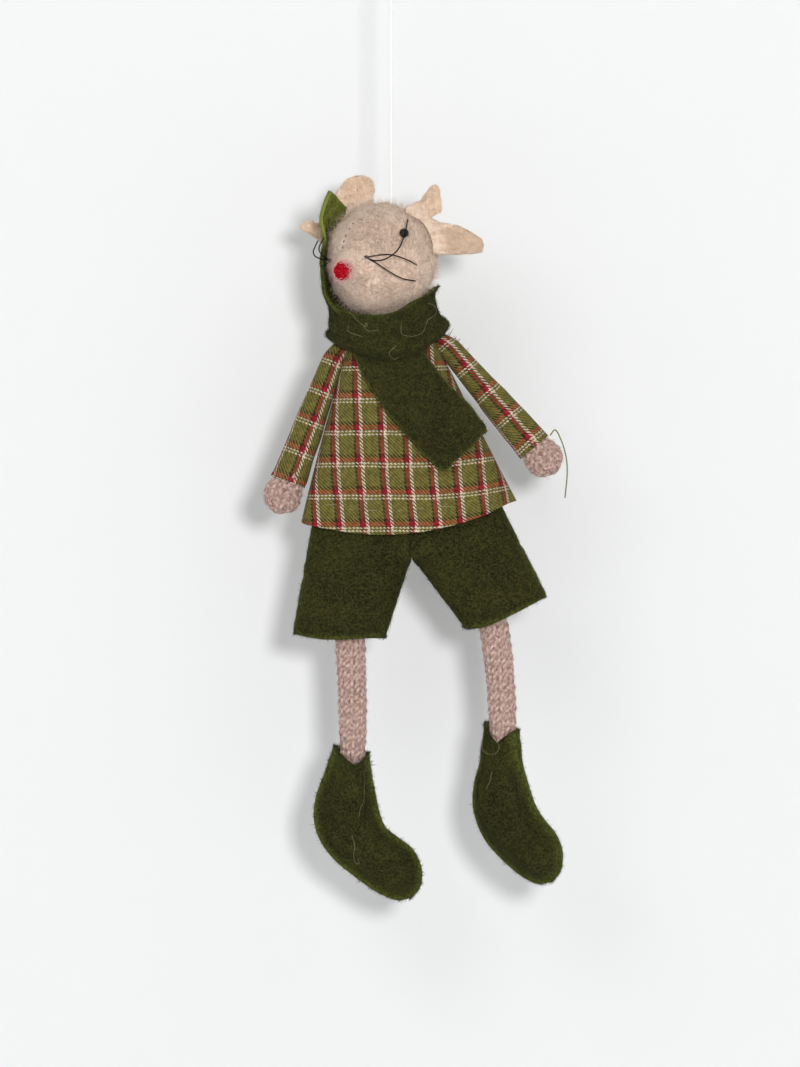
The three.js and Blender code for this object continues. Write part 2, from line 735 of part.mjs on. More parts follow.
function makeLeg(name, side) {
  const start = hip(side);
  const thin = ankleDiameter / 2;
  const ring = (x, z, radius) => round(x, 0, z, radius, radius, rings.limb);
  const shin = legShares.map((share) => {
    const x = start.x + legSide(side) * (1 - (1 - share) ** 2);
    return ring(x, start.z - legLength * share, legRadius - (legRadius - thin) * share ** 3);
  });
  const top = dome(legRadius)
    .slice(0, -1)
    .map(([z, radius]) => ring(start.x, start.z - z, radius));
  const end = legEndShares.map(([along, wide]) =>
    ring(ankle(side).x, ankle(side).z - legInBoot * along, thin * wide),
  );
  return meshOf(name, loft([...top, ...shin, ...end]), knit);
}

// Boots: stuffed felt, cut as a front and a back along one outline. Shares of the boot's height down and
// across its middle line, of its width and of its depth, and the tilt of each section in degrees.
const bootShares = [
  [0, 0, 0.547, 0.86, 0], [0.18, -0.017, 0.6, 0.88, 0], [0.33, -0.041, 0.81, 0.96, 0],
  [0.47, -0.036, 0.97, 1, 3], [0.585, 0.007, 0.99, 1, 9.5], [0.68, 0.094, 1, 0.97, 19],
  [0.777, 0.213, 0.95, 0.9, 25], [0.88, 0.308, 0.77, 0.76, 27], [0.96, 0.366, 0.5, 0.54, 29],
  [1.005, 0.395, 0.16, 0.2, 30],
];

function bootForm(inset, run) {
  const sections = bootShares.map(([along, side, wide, deep, tilt]) => {
    const a = Math.max((bootWidth / 2) * wide - inset, seam);
    const b = Math.max((bootDepth / 2) * deep - inset, seam);
    const lean = tilt * degrees;
    const middle = down(side * bootHeight, along * bootHeight - (along ? 0 : run));
    const pull = along > 1 ? inset : 0;
    return round(0, 0, 0, a, b, rings.boot).map(
      (p) =>
        new THREE.Vector3(
          middle.x + p.x * Math.cos(lean) - pull * Math.sin(lean),
          p.y,
          middle.z + p.x * Math.sin(lean) + pull,
        ),
    );
  });
  return loft(sections);
}

function makeBoot(side, name) {
  const felt = bootForm(0, 0).subtract(bootForm(feltThickness, overrun));
  const far = bootHeight + bootWidth;
  const front = box(-far, far, -far, -seam / 2, -far, overrun);
  const back = box(-far, far, seam / 2, far, -far, overrun);
  const notch = new THREE.Shape([
    new THREE.Vector2(-ankleOpening / 2 + feltThickness, overrun),
    new THREE.Vector2(-ankleOpening / 2 + feltThickness, 0),
    new THREE.Vector2(0, -notchDepth),
    new THREE.Vector2(ankleOpening / 2 - feltThickness, 0),
    new THREE.Vector2(ankleOpening / 2 - feltThickness, overrun),
  ]);
  const wedge = new THREE.ExtrudeGeometry(notch, { depth: bootDepth, bevelEnabled: false });
  const cut = solidOf(wedge.rotateX(Math.PI / 2));
  const low = box(-far, far, -far, far, -far, -legInBoot - seam);
  const boot = new THREE.Group();
  boot.position.copy(ankle(side));
  boot.rotation.z = side > 0 ? -bootTwistLeft * degrees : 0;
  boot.add(meshOf(name + "_front", felt.intersect(front).subtract(cut), darkFelt));
  boot.add(meshOf(name + "_back", felt.intersect(back), darkFelt));
  boot.add(meshOf(name + "_filling", bootForm(feltThickness + seam, 0).intersect(low), wadding));
  return boot;
}

// Cord: a loop tied off by a knot, the straight stretch, and the knot that holds it inside the head
const loopShares = [[0.42, 0.17], [0.5, 0.42], [0.25, 0.78]];
const loopSteps = 40;
const cordSteps = 30;
const cordSides = 8;

function makeLoop() {
  const half = (side) =>
    loopShares.map(([out, drop]) => new THREE.Vector3(side * out * loopWidth, 0, -drop * loopLength));
  const top = new THREE.Vector3(0, 0, ropeRadius);
  const low = new THREE.Vector3(0, 0, knotZ);
  const path = new THREE.CatmullRomCurve3([top, ...half(1), low, ...half(-1).reverse()], true);
  const ring = solidOf(new THREE.TubeGeometry(path, loopSteps, ropeRadius, cordSides, true));
  return meshOf("hanging_loop", ring.add(ball(0, 0, knotZ, knotRadius, rings.bead)), white);
}

function makeCord() {
  const points = [new THREE.Vector3(0, 0, cordTop), new THREE.Vector3(0, 0, crownZ + seam)];
  return meshOf("hanging_cord", thread(points, ropeRadius, cordSteps, cordSides), white);
}

function makeAnchor() {
  const stem = post(0, 0, anchorZ, crownZ, ropeRadius, cordSides);
  return meshOf("cord_anchor_knot", stem.add(ball(0, 0, anchorZ, knotRadius, rings.bead)), white);
}

function framed(matrix, ...parts) {
  const frame = new THREE.Group();
  frame.applyMatrix4(matrix);
  frame.add(...parts);
  return frame;
}

const group = new THREE.Group();
group.add(makeLoop(), makeCord(), makeAnchor());
group.add(...makeHead(), makeNose(), makeEye("eye_left", 1), makeEye("eye_right", -1));
group.add(makeWhiskers("whiskers_left", leftWhiskerShares));
group.add(makeWhiskers("whiskers_right", rightWhiskerShares));
group.add(makeEar("ear_left", leftEarShares, -earForwardLeft, earCurlShares.left));
group.add(makeEar("ear_right", rightEarShares, earBackRight, earCurlShares.right));
group.add(meshOf("scarf_back_tail", makeBackTail(), darkFelt));
group.add(
  framed(
    torsoFrame,
    makeTorso(),
    makeShirt(),
    meshOf("scarf_wrap", makeWrap(), darkFelt),
    meshOf("scarf_front_tail", makeFrontTail(), darkFelt),
  ),
);
group.add(
  framed(
    shortsFrame,
    meshOf("shorts_front", makeShorts(true), darkFelt),
    meshOf("shorts_back", makeShorts(false), darkFelt),
  ),
);
for (const [word, side] of [["left", 1], ["right", -1]]) {
  group.add(framed(armFrame(side), makeSleeve("sleeve_" + word), makeArm("arm_" + word)));
  group.add(makeLeg("leg_" + word, side), makeBoot(side, "boot_" + word));
}
group.add(makeCuffThread());

export default group;
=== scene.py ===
"""Looks of a hanging cloth mouse ornament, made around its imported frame.

Sizes in the tables are millimetres in the frame's own axes: +Z up, the mouse's front towards -Y, its left +X.
Every new piece is a grid or a profile worked out with numpy and put into a mesh in metres.
"""

import math

import bpy
import numpy as np
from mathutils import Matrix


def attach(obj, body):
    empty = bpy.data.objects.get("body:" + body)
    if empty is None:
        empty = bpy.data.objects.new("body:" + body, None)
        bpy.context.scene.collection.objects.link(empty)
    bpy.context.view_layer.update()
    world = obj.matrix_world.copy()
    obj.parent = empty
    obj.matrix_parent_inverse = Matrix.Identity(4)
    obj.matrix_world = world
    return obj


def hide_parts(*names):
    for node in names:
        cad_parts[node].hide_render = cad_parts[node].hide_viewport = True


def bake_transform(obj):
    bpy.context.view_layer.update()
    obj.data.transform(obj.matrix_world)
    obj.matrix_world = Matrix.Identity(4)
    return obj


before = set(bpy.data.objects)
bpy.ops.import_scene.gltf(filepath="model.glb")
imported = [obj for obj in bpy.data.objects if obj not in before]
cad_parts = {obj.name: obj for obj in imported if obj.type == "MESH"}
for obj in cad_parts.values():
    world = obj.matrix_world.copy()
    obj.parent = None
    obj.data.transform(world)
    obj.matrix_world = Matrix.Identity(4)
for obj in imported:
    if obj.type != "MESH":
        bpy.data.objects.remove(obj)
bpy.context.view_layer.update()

bl_info = {
    "name": "Hanging cloth mouse",
    "version": (1, 0, 0),
    "blender": (4, 5, 0),
    "location": "View3D > Sidebar > Mouse",
    "description": "Makes the felt, plaid and knitted pieces of a hanging cloth mouse",
    "category": "Add Mesh",
}

MM = 0.001
TAU = 2 * math.pi

# Places that the pieces share, in millimetres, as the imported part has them
HEAD_RADIUS = 15.7
HEAD = np.array([-2.5, 0.0, -103.6])
SNOUT_REACH = 19.0
SNOUT_YAW = math.radians(33)
SNOUT_PITCH = math.radians(9.5)
CHEEK = math.radians(48)
SNOUT_SHARES = [(0.3, 0.56), (0.57, 0.38), (0.82, 0.23), (0.95, 0.12), (1.0, 0.0)]
NECK = np.array([-0.8, 0.0, -120.289])
CROWN = -87.35
CORD_TOP = -17.45
TORSO_LEAN = 5.6
CROTCH_DROP = 66.7
SHORTS_LEAN = 8.3
SHOULDER_DROP = 9.9
SHOULDER_SPAN = 32.8
SLEEVE_LENGTH = 36.3
ARM_ANGLE = {"left": -40.7, "right": 20.6}
SIDES = {"left": 1, "right": -1}
LEG_LENGTH = 47.8
LEG_SWEEP = {"left": 6.5, "right": 2.0}
HIP = {"left": np.array([24.722, 0.0, -187.922]), "right": np.array([-12.699, 0.0, -191.591])}
BOOT_HEIGHT = 41.3
BOOT_TWIST = {"left": -25.0, "right": 0.0}
NOSE_RADIUS = 3.0
EYE_RADIUS = 1.3
EYE_RISE, EYE_OUT = math.radians(26), math.radians(49.5)
WRAP_RADIUS, WRAP_TOP, WRAP_HEIGHT = 17, 9.2, 15.6
TAIL_WIDTH, TAIL_LENGTH = 19.5, 32.1
SHIRT_TOP, SHIRT_LENGTH = 8, 46
SHIRT_TOP_WIDTH, SHIRT_FLARE = 26, 34.6
SHIRT_TOP_DEPTH, SHIRT_SWELL = 16.4, 7.6
SHORTS_RISE, SHORTS_HEIGHT = 24, 45.4
SHORTS_WIDTH, SHORTS_DEPTH = 30.5, 8.1
SHORTS_LEG, SHORTS_SIDE_LEG = 21.4, 16.6
SHORTS_BEND = 0.88
BOOT_WIDTH, BOOT_DEPTH = 9.5, 6.0

# The hanging cord: its plies, the depth of the grooves between them and their turn in a millimetre, its loop, and
# how its knots lie
CORD_PLIES, CORD_GROOVE, CORD_TWIST = 3, 0.22, 1.9
LOOP_WIDTH, LOOP_HEIGHT = 7, 16
KNOT_GAP, KNOT_HALF, ANCHOR_DROP = 0.3, 1.3, 1.1

# Where fibres start off a skin, where cream painted light is laid over the head's side towards the muzzle, where the
# plaid's repeats start, and the stage
SKIN_GAP = 0.02
PAINTED_LIGHT_FROM, PAINTED_LIGHT_TO = -9.5, -16.5
STRIPE_START, BAND_START = 3.8, 161.735
WALL_AT, FLOOR_AT = 0.058, -0.36


def level(t):
    """A step from 0 to 1 that starts and ends flat."""
    t = np.clip(t, 0, 1)
    return t * t * (3 - 2 * t)


def spline(points, count):
    """Catmull-Rom curve through the points, read at an even count of places: in each span the cubic whose
    slopes at its ends are half the chord between the neighbours."""
    p = np.asarray(points, float)
    p = np.vstack([2 * p[0] - p[1], p, 2 * p[-1] - p[-2]])
    t = np.linspace(0, len(p) - 3 - 1e-9, count)
    i = t.astype(int)
    f = (t - i)[:, None]
    a, b, c, d = p[i], p[i + 1], p[i + 2], p[i + 3]
    return 0.5 * (2 * b + (c - a) * f + (2 * a - 5 * b + 4 * c - d) * f**2 + (3 * b - a - 3 * c + d) * f**3)


def run_of(points):
    """How far along a curve each of its places lies."""
    return np.concatenate([[0], np.cumsum(np.linalg.norm(np.diff(points, axis=0), axis=1))])


def even_curve(points, count):
    """The same curve with its places an even distance apart."""
    dense = spline(points, 40 * len(points))
    run = run_of(dense)
    return np.stack([np.interp(np.linspace(0, run[-1], count), run, dense[:, k]) for k in range(dense.shape[1])], 1)


def read_table(rows, at):
    """A table whose first column rises, read at places along it on a smooth curve."""
    dense = spline(rows, 60 * len(rows))
    return [np.interp(at, dense[:, 0], dense[:, k]) for k in range(1, dense.shape[1])]


def unit(v):
    return v / np.maximum(np.linalg.norm(v, axis=-1, keepdims=True), 1e-12)


def turn_y(points, degrees):
    """Points turned about Y."""
    a = math.radians(degrees)
    x, z = points[..., 0], points[..., 2]
    return np.stack([x * math.cos(a) + z * math.sin(a), points[..., 1], z * math.cos(a) - x * math.sin(a)], -1)


def turn_z(points, degrees):
    """Points turned about Z."""
    a = math.radians(degrees)
    x, y = points[..., 0], points[..., 1]
    return np.stack([x * math.cos(a) - y * math.sin(a), x * math.sin(a) + y * math.cos(a), points[..., 2]], -1)


def in_torso(points):
    """From the torso's leaning frame to the part's frame."""
    return turn_y(points, -TORSO_LEAN) + NECK


def in_shorts(points):
    """From the shorts' frame, whose origin is the crotch, to the part's frame."""
    return turn_y(points, -SHORTS_LEAN) + in_torso(np.array([0.0, 0.0, -CROTCH_DROP]))


def shoulder(side):
    return in_torso(np.array([SIDES[side] * SHOULDER_SPAN / 2, 0.0, -SHOULDER_DROP]))


def in_arm(points, side):
    """From an arm's frame, which hangs down from its shoulder, to the part's frame."""
    return turn_y(points, ARM_ANGLE[side]) + shoulder(side)


def ankle(side):
    return HIP[side] + np.array([LEG_SWEEP[side], 0.0, -LEG_LENGTH])


def in_boot(points, side):
    return turn_z(points, BOOT_TWIST[side]) + ankle(side)


def wander(points, size, seed, count=9):
    """Smooth unevenness: the mean of sine waves of about one size that run in chosen directions."""
    rng = np.random.default_rng(seed)
    ways = unit(rng.normal(size=(count, 3))) * TAU / (size * rng.uniform(0.6, 1.6, (count, 1)))
    phase = rng.uniform(0, TAU, count)
    return np.sin(points @ ways.T + phase).sum(-1) / math.sqrt(count)


def grid_faces(rows, cols, around):
    """The quads between neighbouring places of a grid, whose last column may join its first."""
    i, j = np.meshgrid(np.arange(rows - 1), np.arange(cols if around else cols - 1), indexing="ij")
    i, j = i.ravel(), j.ravel()
    k = (j + 1) % cols
    return np.stack([i * cols + j, i * cols + k, (i + 1) * cols + k, (i + 1) * cols + j], 1)


def grid_normals(points, around):
    """Unit normals of a grid, from the cross product of its differences along and across."""
    if around:
        across = np.roll(points, -1, 1) - np.roll(points, 1, 1)
    else:
        across = np.gradient(points, axis=1)
    return unit(np.cross(across, np.gradient(points, axis=0)))


def inside_out(points, quads, tris):
    """Whether a closed mesh holds a negative volume, so that its faces point inwards."""
    t = np.vstack([quads[:, [0, 1, 2]], quads[:, [0, 2, 3]], tris])
    a, b, c = (points[t[:, k]] for k in range(3))
    return np.einsum("ij,ij->i", a, np.cross(b, c)).sum() < 0


NO_TRIS = np.zeros((0, 3), int)


def new_piece(name, points, quads, tris=NO_TRIS, uv=None, marks=None):
    """A mesh object from points in millimetres, with its faces turned outwards. uv holds a pair for each corner
    of each quad, marks one number for each point."""
    if inside_out(points, quads, tris):
        quads, tris = quads[:, ::-1], tris[:, ::-1]
        uv = None if uv is None else uv[:, ::-1]
    mesh = bpy.data.meshes.new(name)
    mesh.vertices.add(len(points))
    mesh.vertices.foreach_set("co", (points * MM).astype(np.float32).ravel())
    loops = np.concatenate([quads.ravel(), tris.ravel()]).astype(np.int32)
    starts = np.concatenate([np.arange(len(quads)) * 4, len(quads) * 4 + np.arange(len(tris)) * 3])
    mesh.loops.add(len(loops))
    mesh.loops.foreach_set("vertex_index", loops)
    mesh.polygons.add(len(starts))
    mesh.polygons.foreach_set("loop_start", starts.astype(np.int32))
    mesh.polygons.foreach_set("use_smooth", np.ones(len(starts), bool))
    if uv is not None:
        layer = mesh.uv_layers.new(name="cloth")
        layer.data.foreach_set("uv", uv.astype(np.float32).ravel())
    for key, values in (marks or {}).items():
        attribute = mesh.attributes.new(key, "FLOAT", "POINT")
        attribute.data.foreach_set("value", values.astype(np.float32))
    mesh.update(calc_edges=True)
    mesh.validate()
    piece = bpy.data.objects.new(name, mesh)
    bpy.context.scene.collection.objects.link(piece)
    return piece


def closed_tubes(grids):
    """Points, quads and triangles of grids that run round: each end row is drawn to its middle."""
    points, quads, tris = [], [], []
    start = 0
    for grid in grids:
        rows, cols = grid.shape[:2]
        j = np.arange(cols)
        k = (j + 1) % cols
        last = (rows - 1) * cols
        points += [grid.reshape(-1, 3), grid[0].mean(0)[None], grid[-1].mean(0)[None]]
        quads.append(grid_faces(rows, cols, True) + start)
        tris.append(np.stack([k, j, np.full(cols, rows * cols)], 1) + start)
        tris.append(np.stack([last + j, last + k, np.full(cols, rows * cols + 1)], 1) + start)
        start += rows * cols + 2
    return np.vstack(points), np.vstack(quads), np.vstack(tris)


def capped(name, grid):
    """A closed skin over a grid that runs round."""
    return new_piece(name, *closed_tubes([grid]))


def edge_bands(rows, cols, around):
    """The quads that close a cloth's two faces along its edges; the inner face's places follow the outer's."""
    places = np.arange(rows * cols).reshape(rows, cols)
    edges = [(places[0], True), (places[-1], False)]
    if around:
        edges = [(np.append(line, line[0]), flip) for line, flip in edges]
    else:
        edges += [(places[:, 0], False), (places[:, -1], True)]
    bands = []
    for line, flip in edges:
        a, b = line[:-1], line[1:]
        quad = np.stack([a, b, b + rows * cols, a + rows * cols], 1)
        bands.append(quad[:, ::-1] if flip else quad)
    return np.vstack(bands)


def cloth_faces(rows, cols, around):
    """The quads of a sheet with thickness: its outer face, its inner face and the bands along its edges."""
    face = grid_faces(rows, cols, around)
    return np.vstack([face, face[:, ::-1] + rows * cols, edge_bands(rows, cols, around)])


def cloth(name, outer, inner, around, marks):
    """A felt sheet with thickness between two grids, which carry the same marks."""
    points = np.vstack([outer.reshape(-1, 3), inner.reshape(-1, 3)])
    marks = {key: np.tile(values.ravel(), 2) for key, values in marks.items()}
    return new_piece(name, points, cloth_faces(*outer.shape[:2], around), marks=marks)


def lobe_wave(points, sides, lobes, twist):
    """For each place of the rings round a curve, (1 + cos(lobes * (angle - twist * run))) / 2."""
    angle = np.arange(sides)[None, :] / sides * TAU
    return (1 + np.cos(lobes * (angle - twist * run_of(points)[:, None]))) / 2


def ring_grid(points, along, side, radius):
    """Rings square to a curve: each place stands off it by its radius times (cos a, sin a) in the frame of the
    side and its cross product with the curve's direction."""
    angle = (np.arange(radius.shape[1]) / radius.shape[1] * TAU)[None, :, None]
    ring = np.cos(angle) * side[:, None] + np.sin(angle) * np.cross(along, side)[:, None]
    return points[:, None] + radius[..., None] * ring


def tube(points, radius, sides, lobes=0, depth=0.0, twist=0.0):
    """Rings along a curve, whose frame is carried along by turning it as little as possible; the radius is
    drawn in by depth times the lobes' wave."""
    along = unit(np.gradient(points, axis=0))
    side = np.zeros_like(points)
    side[0] = unit(np.cross(along[0], [0.0, 0.0, 1.0] if abs(along[0][2]) < 0.9 else [1.0, 0.0, 0.0]))
    for i in range(1, len(points)):
        side[i] = unit(side[i - 1] - along[i] * (side[i - 1] @ along[i]))
    return ring_grid(points, along, side, radius * (1 - depth * lobe_wave(points, sides, lobes, twist)))


def joined(name, grids, painted_shades=None):
    """Several closed tubes as one mesh. painted_shades holds, for each place of each tube, the shade that its finish
    paints there; without it every place gets an even 0.5.
    """
    points, quads, tris = closed_tubes(grids)
    painted_shades = painted_shades or [np.full(grid.shape[:2], 0.5) for grid in grids]
    shade = np.concatenate([np.append(tone.ravel(), [0.5, 0.5]) for tone in painted_shades])
    return new_piece(name, points, quads, tris, marks={"shade": shade})


def hairs(name, lines, radius, shade, normals):
    """Fine hairs in one mesh, as three-sided tapering rods: lines holds the places of each hair, normals which
    way is off the skin, shade one number for each hair."""
    n, k = lines.shape[:2]
    along = unit(np.gradient(lines, axis=1))
    side = unit(np.cross(along, normals[:, None]))[:, :, None]
    up = np.cross(side[:, :, 0], along)[:, :, None]
    taper = (1 - 0.75 * np.linspace(0, 1, k) ** 2)[None, :, None, None]
    angle = (np.arange(3) / 3 * TAU)[None, None, :, None]
    r = np.broadcast_to(np.asarray(radius, float), (n,))[:, None, None, None]
    points = (lines[:, :, None] + (np.cos(angle) * side + np.sin(angle) * up) * r * taper).reshape(-1, 3)
    base = np.arange(n)[:, None, None] * 3 * k
    i = np.arange(k - 1)[None, :, None] * 3
    j = np.arange(3)[None, None, :]
    m = (j + 1) % 3
    quads = np.stack([base + i + j, base + i + m, base + i + 3 + m, base + i + 3 + j], -1).reshape(-1, 4)
    first = np.arange(n)[:, None] * 3 * k
    ends = np.vstack([first + np.array([2, 1, 0]), first + 3 * (k - 1) + np.array([0, 1, 2])])
    return new_piece(name, points, quads, ends, marks={"shade": np.repeat(shade, 3 * k)})


def read_grid(grid, row, col, around):
    """A grid of vectors read between its places, by the weights of the four nearest."""
    rows, cols = grid.shape[:2]
    row = np.clip(row, 0, rows - 1.001)
    col = col % cols if around else np.clip(col, 0, cols - 1.001)
    i, j = row.astype(int), col.astype(int)
    f, g = (row - i)[..., None], (col - j)[..., None]
    k = (j + 1) % cols
    return (grid[i, j] * (1 - f) + grid[i + 1, j] * f) * (1 - g) + (grid[i, k] * (1 - f) + grid[i + 1, k] * f) * g


def nap(name, skin, normals, count, length, radius, lift, seed, around=True, steps=4, keep=None):
    """Short bent hairs all over a skin. Each starts at a random place, as many on each patch as its area asks,
    walks along the skin in a direction that turns steadily, and stands off it by lift times a power of the way
    along. keep(row share, column share) gives the chance that a place has a hair."""
    rng = np.random.default_rng(seed)
    rows, cols = skin.shape[:2]
    face = grid_faces(rows, cols, around)
    flat = skin.reshape(-1, 3)
    area = np.linalg.norm(np.cross(flat[face[:, 1]] - flat[face[:, 0]], flat[face[:, 3]] - flat[face[:, 0]]), axis=1)
    span = cols if around else cols - 1
    if keep is not None:
        cell = np.arange(len(face))
        area = area * keep((cell // span + 0.5) / (rows - 1), (cell % span + 0.5) / span)
    cell = rng.choice(len(face), count, p=area / area.sum())
    row = cell // span + rng.random(count)
    col = cell % span + rng.random(count)
    size = length * rng.uniform(0.5, 1.4, count)
    way = rng.uniform(0.0, TAU, count)
    bend = rng.normal(0, 0.9, count)
    stand = lift * rng.uniform(0.15, 1.6, count) ** 1.5
    step_row = np.linalg.norm(np.gradient(skin, axis=0), axis=-1)[..., None] + SKIN_GAP
    step_col = np.linalg.norm(np.roll(skin, -1, 1) - skin, axis=-1)[..., None] + SKIN_GAP
    out = unit(read_grid(normals, row, col, around))
    lines = []
    for share in np.linspace(0, 1, steps):
        off = unit(read_grid(normals, row, col, around)) * (SKIN_GAP + stand * share**1.6)[:, None]
        lines.append(read_grid(skin, row, col, around) + off)
        angle = way + bend * share
        d_row = read_grid(step_row, row, col, around)[:, 0]
        d_col = read_grid(step_col, row, col, around)[:, 0]
        row = row + np.clip(np.sin(angle) * size / (steps - 1) / d_row, -rows, rows)
        col = col + np.clip(np.cos(angle) * size / (steps - 1) / d_col, -cols / 4, cols / 4)
    shade = rng.random(count)
    return hairs(name, np.stack(lines, 1), radius * rng.uniform(0.6, 1.3, count), shade, out)


def dressed(piece, finish):
    """Gives a piece the material of its finish."""
    material, slot = finish
    piece.data.materials.append(material)
    return piece


def put_on(piece, finish, body, *nodes):
    """Dresses a piece, lets it ride a body and stands it in for nodes."""
    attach(dressed(piece, finish), body)
    if nodes:
        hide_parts(*nodes)
    return piece


def add_node(tree, kind, values=None, **settings):
    """A new shader node; a value that is another node's socket is linked, any other is set."""
    node = tree.nodes.new("ShaderNode" + kind)
    for key, value in settings.items():
        setattr(node, key, value)
    for key, value in (values or {}).items():
        if isinstance(value, bpy.types.NodeSocket):
            tree.links.new(value, node.inputs[key])
        else:
            node.inputs[key].default_value = value
    return node


def linear(red, green, blue):
    """A colour given in display values up to 255, as the linear light that the shaders take."""
    c = np.array([red, green, blue]) / 255
    c = np.where(c <= 0.04045, c / 12.92, ((c + 0.055) / 1.055) ** 2.4)
    return (float(c[0]), float(c[1]), float(c[2]), 1.0)


class Finish:
    """A material whose nodes are added one by one, with short calls for sums, noise, ramps and bump."""

    def __init__(self, name, roughness=0.9, sheen=0.0, specular=0.3, sheen_tint=None, sheen_roughness=0.6):
        self.material = bpy.data.materials.new(name)
        self.material.use_nodes = True
        self.tree = self.material.node_tree
        self.shader = self.tree.nodes["Principled BSDF"]
        self.shader.inputs["Roughness"].default_value = roughness
        self.shader.inputs["Specular IOR Level"].default_value = specular
        self.shader.inputs["Sheen Weight"].default_value = sheen
        self.shader.inputs["Sheen Roughness"].default_value = sheen_roughness
        if sheen_tint:
            self.shader.inputs["Sheen Tint"].default_value = sheen_tint
        self.place = self.add("TexCoord").outputs["Object"]

    def add(self, kind, values=None, **settings):
        return add_node(self.tree, kind, values, **settings)

    def sum(self, operation, a, b=0.0, c=0.0):
        return self.add("Math", {0: a, 1: b, 2: c}, operation=operation).outputs[0]

    def noise(self, scale, detail=3.0, stretch=(1, 1, 1), turn=(0, 0, 0)):
        at = self.add("Mapping", {"Vector": self.place, "Scale": stretch, "Rotation": turn}).outputs[0]
        return self.add("TexNoise", {"Vector": at, "Scale": scale, "Detail": detail}).outputs["Fac"]

    def spread(self, value, low, high, to_low=0.0, to_high=1.0):
        values = {"Value": value, "From Min": low, "From Max": high, "To Min": to_low, "To Max": to_high}
        return self.add("MapRange", values).outputs[0]

    def ramp(self, factor, stops, step=False):
        node = self.add("ValToRGB", {"Fac": factor})
        bar = node.color_ramp
        bar.interpolation = "CONSTANT" if step else "LINEAR"
        bar.elements[0].position, bar.elements[0].color = stops[0]
        bar.elements[1].position, bar.elements[1].color = stops[-1]
        for position, colour in stops[1:-1]:
            bar.elements.new(position).color = colour
        return node.outputs["Color"]

    def mix(self, factor, a, b, mode="MIX"):
        return self.add("Mix", {0: factor, 6: a, 7: b}, data_type="RGBA", blend_type=mode).outputs[2]

    def mark(self, name):
        return self.add("Attribute", attribute_name=name).outputs["Fac"]

    def facing(self):
        return self.add("LayerWeight", {"Blend": 0.5}).outputs["Facing"]

    def bump(self, height, strength, distance):
        node = self.add("Bump", {"Height": height, "Strength": strength, "Distance": distance * MM})
        self.tree.links.new(node.outputs[0], self.shader.inputs["Normal"])

    def colour(self, socket):
        self.tree.links.new(socket, self.shader.inputs["Base Color"])
        return self.material


def shades(colour, *factors):
    """Darker and lighter steps of one colour."""
    return [tuple(min(c * f, 1.0) for c in colour[:3]) + (1.0,) for f in factors]


def toned(colour, factor):
    return shades(colour, factor)[0]


def felt_finish(name, colour, warm, lit):
    """Pressed wool: blotches a few millimetres wide, fibre streaks that run in several directions, a warm cast in
    places, random clouds of the lighter green, painted light in that lighter green along cut edges and seams where the
    rim mark is set, a brighter painted light where the mark passes 1.4, and a bump from the same streaks. Its sheen is
    the colour of felt in light."""
    f = Finish(name, roughness=0.95, sheen=0.18, specular=0.05, sheen_tint=lit, sheen_roughness=0.5)
    streaks = [f.noise(520, 5, (1, 1, 4), (0, turn, 0)) for turn in (0.5, 1.7, 2.6)]
    fibre = f.sum("MAXIMUM", f.sum("MAXIMUM", streaks[0], streaks[1]), streaks[2])
    dark, mid, light = shades(colour, 0.35, 1.0, 2.6)
    base = f.ramp(fibre, [(0.48, dark), (0.6, mid), (0.74, light)])
    base = f.mix(f.spread(f.noise(60, 3), 0.46, 0.66, 0, 0.26), base, lit)
    base = f.mix(f.sum("MULTIPLY", f.spread(f.noise(120, 4), 0.4, 0.66), 0.6), base, warm)
    grain = f.noise(1700, 4)
    base = f.mix(0.62, base, f.ramp(grain, [(0.4, dark), (0.6, light)]))
    # Painted light: the rim mark lays the lighter green over cut edges and seams, and from 1.4 to 2.2 a brighter copy
    # of it over a face, as if lit.
    base = f.mix(f.sum("MULTIPLY", f.mark("rim"), f.spread(grain, 0.35, 0.65, 0.25, 0.9)), base, lit)
    base = f.mix(f.spread(f.mark("rim"), 1.4, 2.2), base, toned(lit, 1.8))
    f.bump(f.sum("ADD", fibre, f.sum("MULTIPLY", grain, 0.35)), 0.7, 0.35)
    return f.colour(base)


def ear_finish(name, colours, wool):
    """Thin pressed wool in peach with warmer clouds, brown and cream specks, painted shade in a darker warm tone where
    the low mark is set, and the head's own wool where the ear grows out of it."""
    peach, warm, brown, cream = colours
    f = Finish(name, roughness=0.95, sheen=0.4, specular=0.05, sheen_tint=cream, sheen_roughness=0.5)
    base = f.mix(f.spread(f.noise(170, 4), 0.4, 0.64), peach, warm)
    fleck = f.noise(900, 5)
    base = f.mix(f.spread(fleck, 0.54, 0.7, 0, 0.36), base, brown)
    glint = f.noise(780, 4, (1.6, 1, 1))
    base = f.mix(f.spread(glint, 0.55, 0.68, 0, 0.65), base, cream)
    # Painted shade: the low mark darkens the ear towards a deeper warm tone.
    base = f.mix(f.mark("low"), base, toned(warm, 0.86))
    base = f.mix(f.mark("root"), base, wool)
    f.bump(f.sum("ADD", fleck, glint), 0.6, 0.3)
    return f.colour(base)


def fibre_finish(name, stops, step=False):
    """Loose fibres, each with its own shade along a ramp."""
    f = Finish(name, roughness=0.85, sheen=0.03, specular=0.1)
    return f.colour(f.ramp(f.mark("shade"), stops, step))


